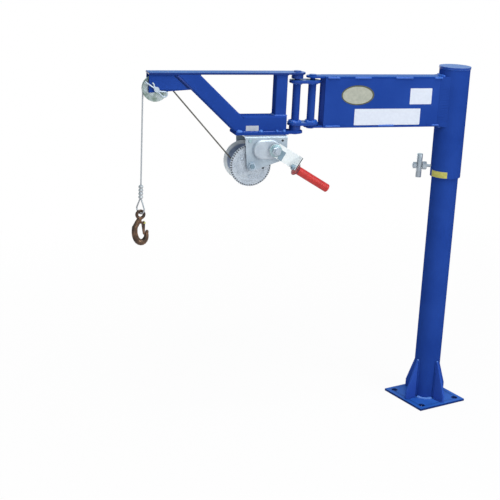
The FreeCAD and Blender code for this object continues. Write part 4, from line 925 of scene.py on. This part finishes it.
# A darker zinc sheet beside the hub, painted shade of the crank's bend; the grip's nut and bolt
# end, darkened in part as painted shade; and a dark strip on the edge of the grip's tab, painted
# shade
JOGGLE_START, JOGGLE_END, JOGGLE_LOW, JOGGLE_HIGH = 17.5 * MM, 34 * MM, -19 * MM, 12 * MM
JOGGLE_RISE, JOGGLE_BACK = 0.6 * MM, 0.02 * MM
GRIP_ALONG, GRIP_OUT, GRIP_LOW = 78 * MM, 89 * MM, -15 * MM
GRIP_NUT, GRIP_NUT_HIGH, GRIP_NUT_TURN = 17 * MM, 8 * MM, 0.2
GRIP_BOLT = in_mm([(0, 4.6), (2.6, 4.6), (3.4, 3.8)])
TAB_FRONT, TAB_MIDDLE, TAB_LOW, TAB_HIGH = 102 * MM, 80.5 * MM, -19.6 * MM, 25.6 * MM
TAB_HALF, TAB_RISE = 1.3 * MM, 0.4 * MM
joggle = []
for along, rise in ((JOGGLE_START, LIFT_OFF), (JOGGLE_END, JOGGLE_RISE)):
    joggle.append([hub + crank_out * along + crank_up * up + FRONT * lift
                   for up, lift in ((JOGGLE_LOW, JOGGLE_BACK), (JOGGLE_LOW, rise),
                                    (JOGGLE_HIGH, rise), (JOGGLE_HIGH, JOGGLE_BACK))])
grip_root = crank_spot + crank_out * GRIP_ALONG + crank_up * GRIP_LOW + FRONT * GRIP_OUT
tab_rings = []
for up in (TAB_LOW, TAB_HIGH):
    spot = crank_spot + crank_out * TAB_MIDDLE + crank_up * up + FRONT * TAB_FRONT
    tab_rings.append([spot + crank_out * along + FRONT * lift
                      for along, lift in ((-TAB_HALF, LIFT_OFF), (TAB_HALF, LIFT_OFF),
                                          (TAB_HALF, TAB_RISE), (-TAB_HALF, TAB_RISE))])
dark_bits = Heap()
dark_bits.add(skinned(joggle))
dark_bits.add(nut(grip_root - crank_out * LIFT_OFF, -crank_out, GRIP_NUT, GRIP_NUT_HIGH,
             GRIP_NUT_TURN))
dark_bits.add(lathe(grip_root - crank_out * GRIP_NUT_HIGH, -crank_out, GRIP_BOLT, sides=20))
dark_bits.piece("crank_dark_zinc", "crank", "zinc_plate", material=DARK_ZINC, smooth=False)
# Dark strip on the tab's edge: painted shade
piece("crank_tab_edge", "crank", "zinc_plate", *skinned(tab_rings), material=TAB_SHADE_ZINC,
      smooth=False)

# Ring on the grip's flange in a darker red: painted shade on the red flange
GRIP_FLANGE = 5 * MM
GRIP_RING = in_mm([(0.05, 21.3), (3.1, 21.3), (9.1, 15.3), (9.2, 13.7)])
piece("grip_ring", "crank", None,
      *lathe(grip_root + crank_out * GRIP_FLANGE, crank_out, GRIP_RING, sides=48), material=SHADED_RED)


# Gear: dark sheets in the front of its tooth gaps are their painted shade, and pale floors lie
# behind

TEETH, GEAR_MODULE, MESH_TURN = 52, 2.5 * MM, math.radians(36.5)
pitch_radius = GEAR_MODULE * TEETH / 2
gear_front, gear_back = (corner.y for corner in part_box("drum_gear"))
GAP_LOW, GAP_HALF_LOW, GAP_HALF_HIGH = pitch_radius - 3.75 * MM, 1.5 * MM, 2.375 * MM
GAP_SHADE_HIGH, GAP_SHADE_PROUD, GAP_SHADE_DEEP = pitch_radius + 0.7 * MM, 0.1 * MM, 2.0 * MM
FLOOR_HIGH, FLOOR_INSET = pitch_radius + 1.2 * MM, 0.7 * MM
gap_shades, gap_floors = Heap(), Heap()
gap_shade_end = gear_front + GAP_SHADE_DEEP
for tooth in range(TEETH):
    angle = MESH_TURN + FULL_TURN * (tooth + 0.5) / TEETH
    out, across = upright(angle), upright(angle + QUARTER_TURN)
    for heap, start, end, reach in (
            (gap_shades, gear_front - GAP_SHADE_PROUD, gap_shade_end, GAP_SHADE_HIGH),
            (gap_floors, gap_shade_end, gear_back - FLOOR_INSET, FLOOR_HIGH)):
        rings = []
        for y in (start, end):
            root = Vector((drum_spot.x, y, drum_spot.z)) + out * GAP_LOW
            crown = Vector((drum_spot.x, y, drum_spot.z)) + out * reach
            rings.append([root - across * GAP_HALF_LOW, root + across * GAP_HALF_LOW,
                          crown + across * GAP_HALF_HIGH, crown - across * GAP_HALF_HIGH])
        heap.add(skinned(rings))
gap_floors.piece("gear_gap_floors", "drum", "zinc_plate", smooth=False)
gap_shades.piece("gear_gap_shades", "drum", None, material=PAINTED_SHADE_DARK, smooth=False)

# A pressed ring, rivets and the shade of a hole on the gear's face
PRESSED, PRESSED_RISE, PRESSED_STEPS, PRESSED_SIDES = 46 * MM, 0.8 * MM, 96, 8
RIVETS, RIVET_TURN, RIVET_REACH = 3, math.radians(-95), 36 * MM
GEAR_RIVET = in_mm([(-0.2, 5), (1.2, 4.8), (2.2, 3.2)])
HOLE_TURN, HOLE_REACH, HOLE_DEEP = math.radians(-12.3), 41.8 * MM, 1.2 * MM
GEAR_HOLE = in_mm([(0, 3.5), (2, 3.5)])
gear_hub = Vector((drum_spot.x, gear_front, drum_spot.z))
gear_face = Heap()
ring_path = [gear_hub + upright(FULL_TURN * i / PRESSED_STEPS) * PRESSED
             for i in range(PRESSED_STEPS)]
gear_face.add(wire(ring_path, PRESSED_RISE, PRESSED_SIDES, closed=True))
for i in range(RIVETS):
    spot = gear_hub + upright(RIVET_TURN + FULL_TURN * i / RIVETS) * RIVET_REACH
    gear_face.add(lathe(spot, FRONT, GEAR_RIVET, sides=24))
gear_face.piece("gear_rivets", "drum", "zinc_plate")
hole_spot = gear_hub + upright(HOLE_TURN) * HOLE_REACH - FRONT * HOLE_DEEP
piece("gear_hole_shade", "drum", None, *lathe(hole_spot, -FRONT, GEAR_HOLE, sides=24),
      material=PAINTED_SHADE_DARK, smooth=False)

# Bolt on the drum's axle
AXLE_BOLT, AXLE_BOLT_HIGH, AXLE_BOLT_TURN = 15 * MM, 3.5 * MM, 0.15
axle_end = Vector((drum_spot.x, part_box("winch_axle")[0].y - LIFT_OFF, drum_spot.z))
piece("axle_bolt", "jib", "zinc_plate",
      *nut(axle_end, FRONT, AXLE_BOLT, AXLE_BOLT_HIGH, AXLE_BOLT_TURN),
      material=DARK_ZINC, smooth=False)

# A bolt in the left hole of the winch frame's front sheet, and the shade of its open right hole
HOLE_INSET, HOLE_DROP, HOLE_SUNK = 16 * MM, 14 * MM, 1.0 * MM
FRAME_BOLT, FRAME_BOLT_HIGH, FRAME_BOLT_TURN = 10.5 * MM, 4 * MM, 0.4
FRAME_HOLE = in_mm([(0, 3.8), (1.5, 3.8)])
frame_low, frame_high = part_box("winch_frame")
hole_y, hole_z = frame_low.y + HOLE_SUNK, frame_high.z - HOLE_DROP
piece("frame_bolts", "jib", "zinc_plate",
      *nut((frame_low.x + HOLE_INSET, hole_y, hole_z), FRONT, FRAME_BOLT, FRAME_BOLT_HIGH,
           FRAME_BOLT_TURN), material=TEAL_ZINC, smooth=False)
piece("frame_hole_shade", "jib", None,
      *lathe((frame_high.x - HOLE_INSET, hole_y, hole_z), -FRONT, FRAME_HOLE, sides=24),
      material=PAINTED_SHADE_DARK, smooth=False)

# Rivet heads on both sides of the latch
LATCH_RIVET = in_mm([(0, 3.2), (0.9, 3.2), (1.7, 1.92)])
RIVET_INSET, RIVET_SUNK = 2.4 * MM, 0.3 * MM
latch_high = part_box("hook_latch")[1]
rivets = Heap()
for hand in (-1, 1):
    spot = Vector((latch_high.x - RIVET_INSET, hand * (latch_high.y - RIVET_SUNK),
                   latch_high.z - RIVET_INSET))
    rivets.add(lathe(spot, (0, hand, 0), LATCH_RIVET, sides=20))
rivets.piece("latch_rivets", "latch", None, material=YELLOW_VINYL)


# Stage: pale floor, white surround, soft lamps, camera

MIRRORED, MIRRORED_TINT = 0.5, (0.70, 0.96, 1.0, 1.0)
PLAIN_WHITE = (1.0, 1.0, 1.0, 1.0)
FLOOR_HALF, FLOOR_DROP, FLOOR_TONE = 40.0, 0.5 * MM, (0.82, 0.82, 0.83, 1.0)
# Whiteness of the floor near the post and far from it, and the distances where it changes
NEAR_SHARE, FAR_SHARE, NEAR, FAR = 0.94, 1.0, 0.9, 2.6
SKY_LIGHT = 0.32


def combined(tree, kind, first, second):
    """Output of a math node on a socket and a second socket or number."""
    made = tree.nodes.new("ShaderNodeMath")
    made.operation = kind
    tree.links.new(first, made.inputs[0])
    if isinstance(second, float):
        made.inputs[1].default_value = second
    else:
        tree.links.new(second, made.inputs[1])
    return made.outputs[0]


def white_for_view(tree, dim):
    """Value that is 1 to the camera, lower in reflections and dim to the light on the object."""
    path = tree.nodes.new("ShaderNodeLightPath").outputs
    mirrored = combined(tree, "MULTIPLY", path["Is Glossy Ray"], MIRRORED)
    seen = combined(tree, "MAXIMUM", path["Is Camera Ray"], mirrored)
    seen = combined(tree, "MAXIMUM", seen, path["Is Transmission Ray"])
    return ranged(tree, seen, dim, 1.0)


floor_mesh = bpy.data.meshes.new("floor")
floor_mesh.from_pydata([(x * FLOOR_HALF, y * FLOOR_HALF, 0)
                        for x, y in ((-1, -1), (1, -1), (1, 1), (-1, 1))], [], [(0, 1, 2, 3)])
floor = bpy.data.objects.new("floor", floor_mesh)
floor.location.z = -FLOOR_DROP
bpy.context.scene.collection.objects.link(floor)
pale = bpy.data.materials.new("pale_floor")
pale.use_nodes = True
tree = pale.node_tree
tree.nodes.clear()
matte = tree.nodes.new("ShaderNodeBsdfDiffuse")
matte.inputs["Color"].default_value = FLOOR_TONE
glow = tree.nodes.new("ShaderNodeEmission")
glow.inputs["Color"].default_value = PLAIN_WHITE
spread = tree.nodes.new("ShaderNodeVectorMath")
spread.operation = "LENGTH"
tree.links.new(tree.nodes.new("ShaderNodeTexCoord").outputs["Object"], spread.inputs[0])
fade = ranged(tree, spread.outputs["Value"], NEAR_SHARE, FAR_SHARE, NEAR, FAR)
blend = tree.nodes.new("ShaderNodeMixShader")
tree.links.new(combined(tree, "MULTIPLY", white_for_view(tree, 0.0), fade), blend.inputs["Fac"])
tree.links.new(matte.outputs["BSDF"], blend.inputs[1])
tree.links.new(glow.outputs["Emission"], blend.inputs[2])
output = tree.nodes.new("ShaderNodeOutputMaterial")
tree.links.new(blend.outputs["Shader"], output.inputs["Surface"])
floor_mesh.materials.append(pale)

world = bpy.data.worlds.new("surround")
bpy.context.scene.world = world
world.use_nodes = True
tree = world.node_tree
sky = tree.nodes["Background"]
tint = tree.nodes.new("ShaderNodeMix")
tint.data_type = "RGBA"
tint.inputs[6].default_value = PLAIN_WHITE
tint.inputs[7].default_value = MIRRORED_TINT
tree.links.new(tree.nodes.new("ShaderNodeLightPath").outputs["Is Glossy Ray"], tint.inputs[0])
tree.links.new(tint.outputs[2], sky.inputs["Color"])
tree.links.new(white_for_view(tree, SKY_LIGHT), sky.inputs["Strength"])


def lamp(name, spot, target, size, power):
    data = bpy.data.lights.new(name, "AREA")
    data.size = size
    data.energy = power
    item = bpy.data.objects.new(name, data)
    item.location = spot
    item.rotation_mode = "QUATERNION"
    item.rotation_quaternion = (Vector(target) - Vector(spot)).to_track_quat("-Z", "Y")
    bpy.context.scene.collection.objects.link(item)


JIB_AIM, FOOT_AIM = (-0.5, 0.0, 0.8), (-0.1, 0.0, 0.15)
lamp("key_lamp", (1.9, -3.4, 2.6), JIB_AIM, size=2.2, power=70)
lamp("top_lamp", (-0.4, -1.2, 4.0), JIB_AIM, size=2.2, power=86)
lamp("back_lamp", (1.5, 3.4, 3.4), JIB_AIM, size=2.4, power=25)
lamp("rear_lamp", (-0.8, 3.8, 0.5), JIB_AIM, size=1.6, power=34)
lamp("low_lamp", (-1.4, -3.0, 0.5), FOOT_AIM, size=1.6, power=12)

# Camera, solved on the photograph
LENS, SENSOR = 84.32, 36.0
EYE = Vector((-1.7980, -3.4864, 1.6670))
HEADING, PITCH, ROLL = math.radians(17.81), math.radians(16.63), math.radians(2.70)
ahead = Vector((math.sin(HEADING) * math.cos(PITCH), math.cos(HEADING) * math.cos(PITCH),
                -math.sin(PITCH)))
flat = Vector((math.cos(HEADING), -math.sin(HEADING), 0))
lift = flat.cross(ahead)
right = flat * math.cos(ROLL) + lift * math.sin(ROLL)
over = lift * math.cos(ROLL) - flat * math.sin(ROLL)
data = bpy.data.cameras.new("camera")
data.lens = LENS
data.sensor_width = SENSOR
camera = bpy.data.objects.new("camera", data)
camera.matrix_world = Matrix(((right.x, over.x, -ahead.x, EYE.x),
                              (right.y, over.y, -ahead.y, EYE.y),
                              (right.z, over.z, -ahead.z, EYE.z), (0, 0, 0, 1)))
bpy.context.scene.collection.objects.link(camera)
bpy.context.scene.camera = camera
bpy.context.scene.view_settings.view_transform = "Standard"
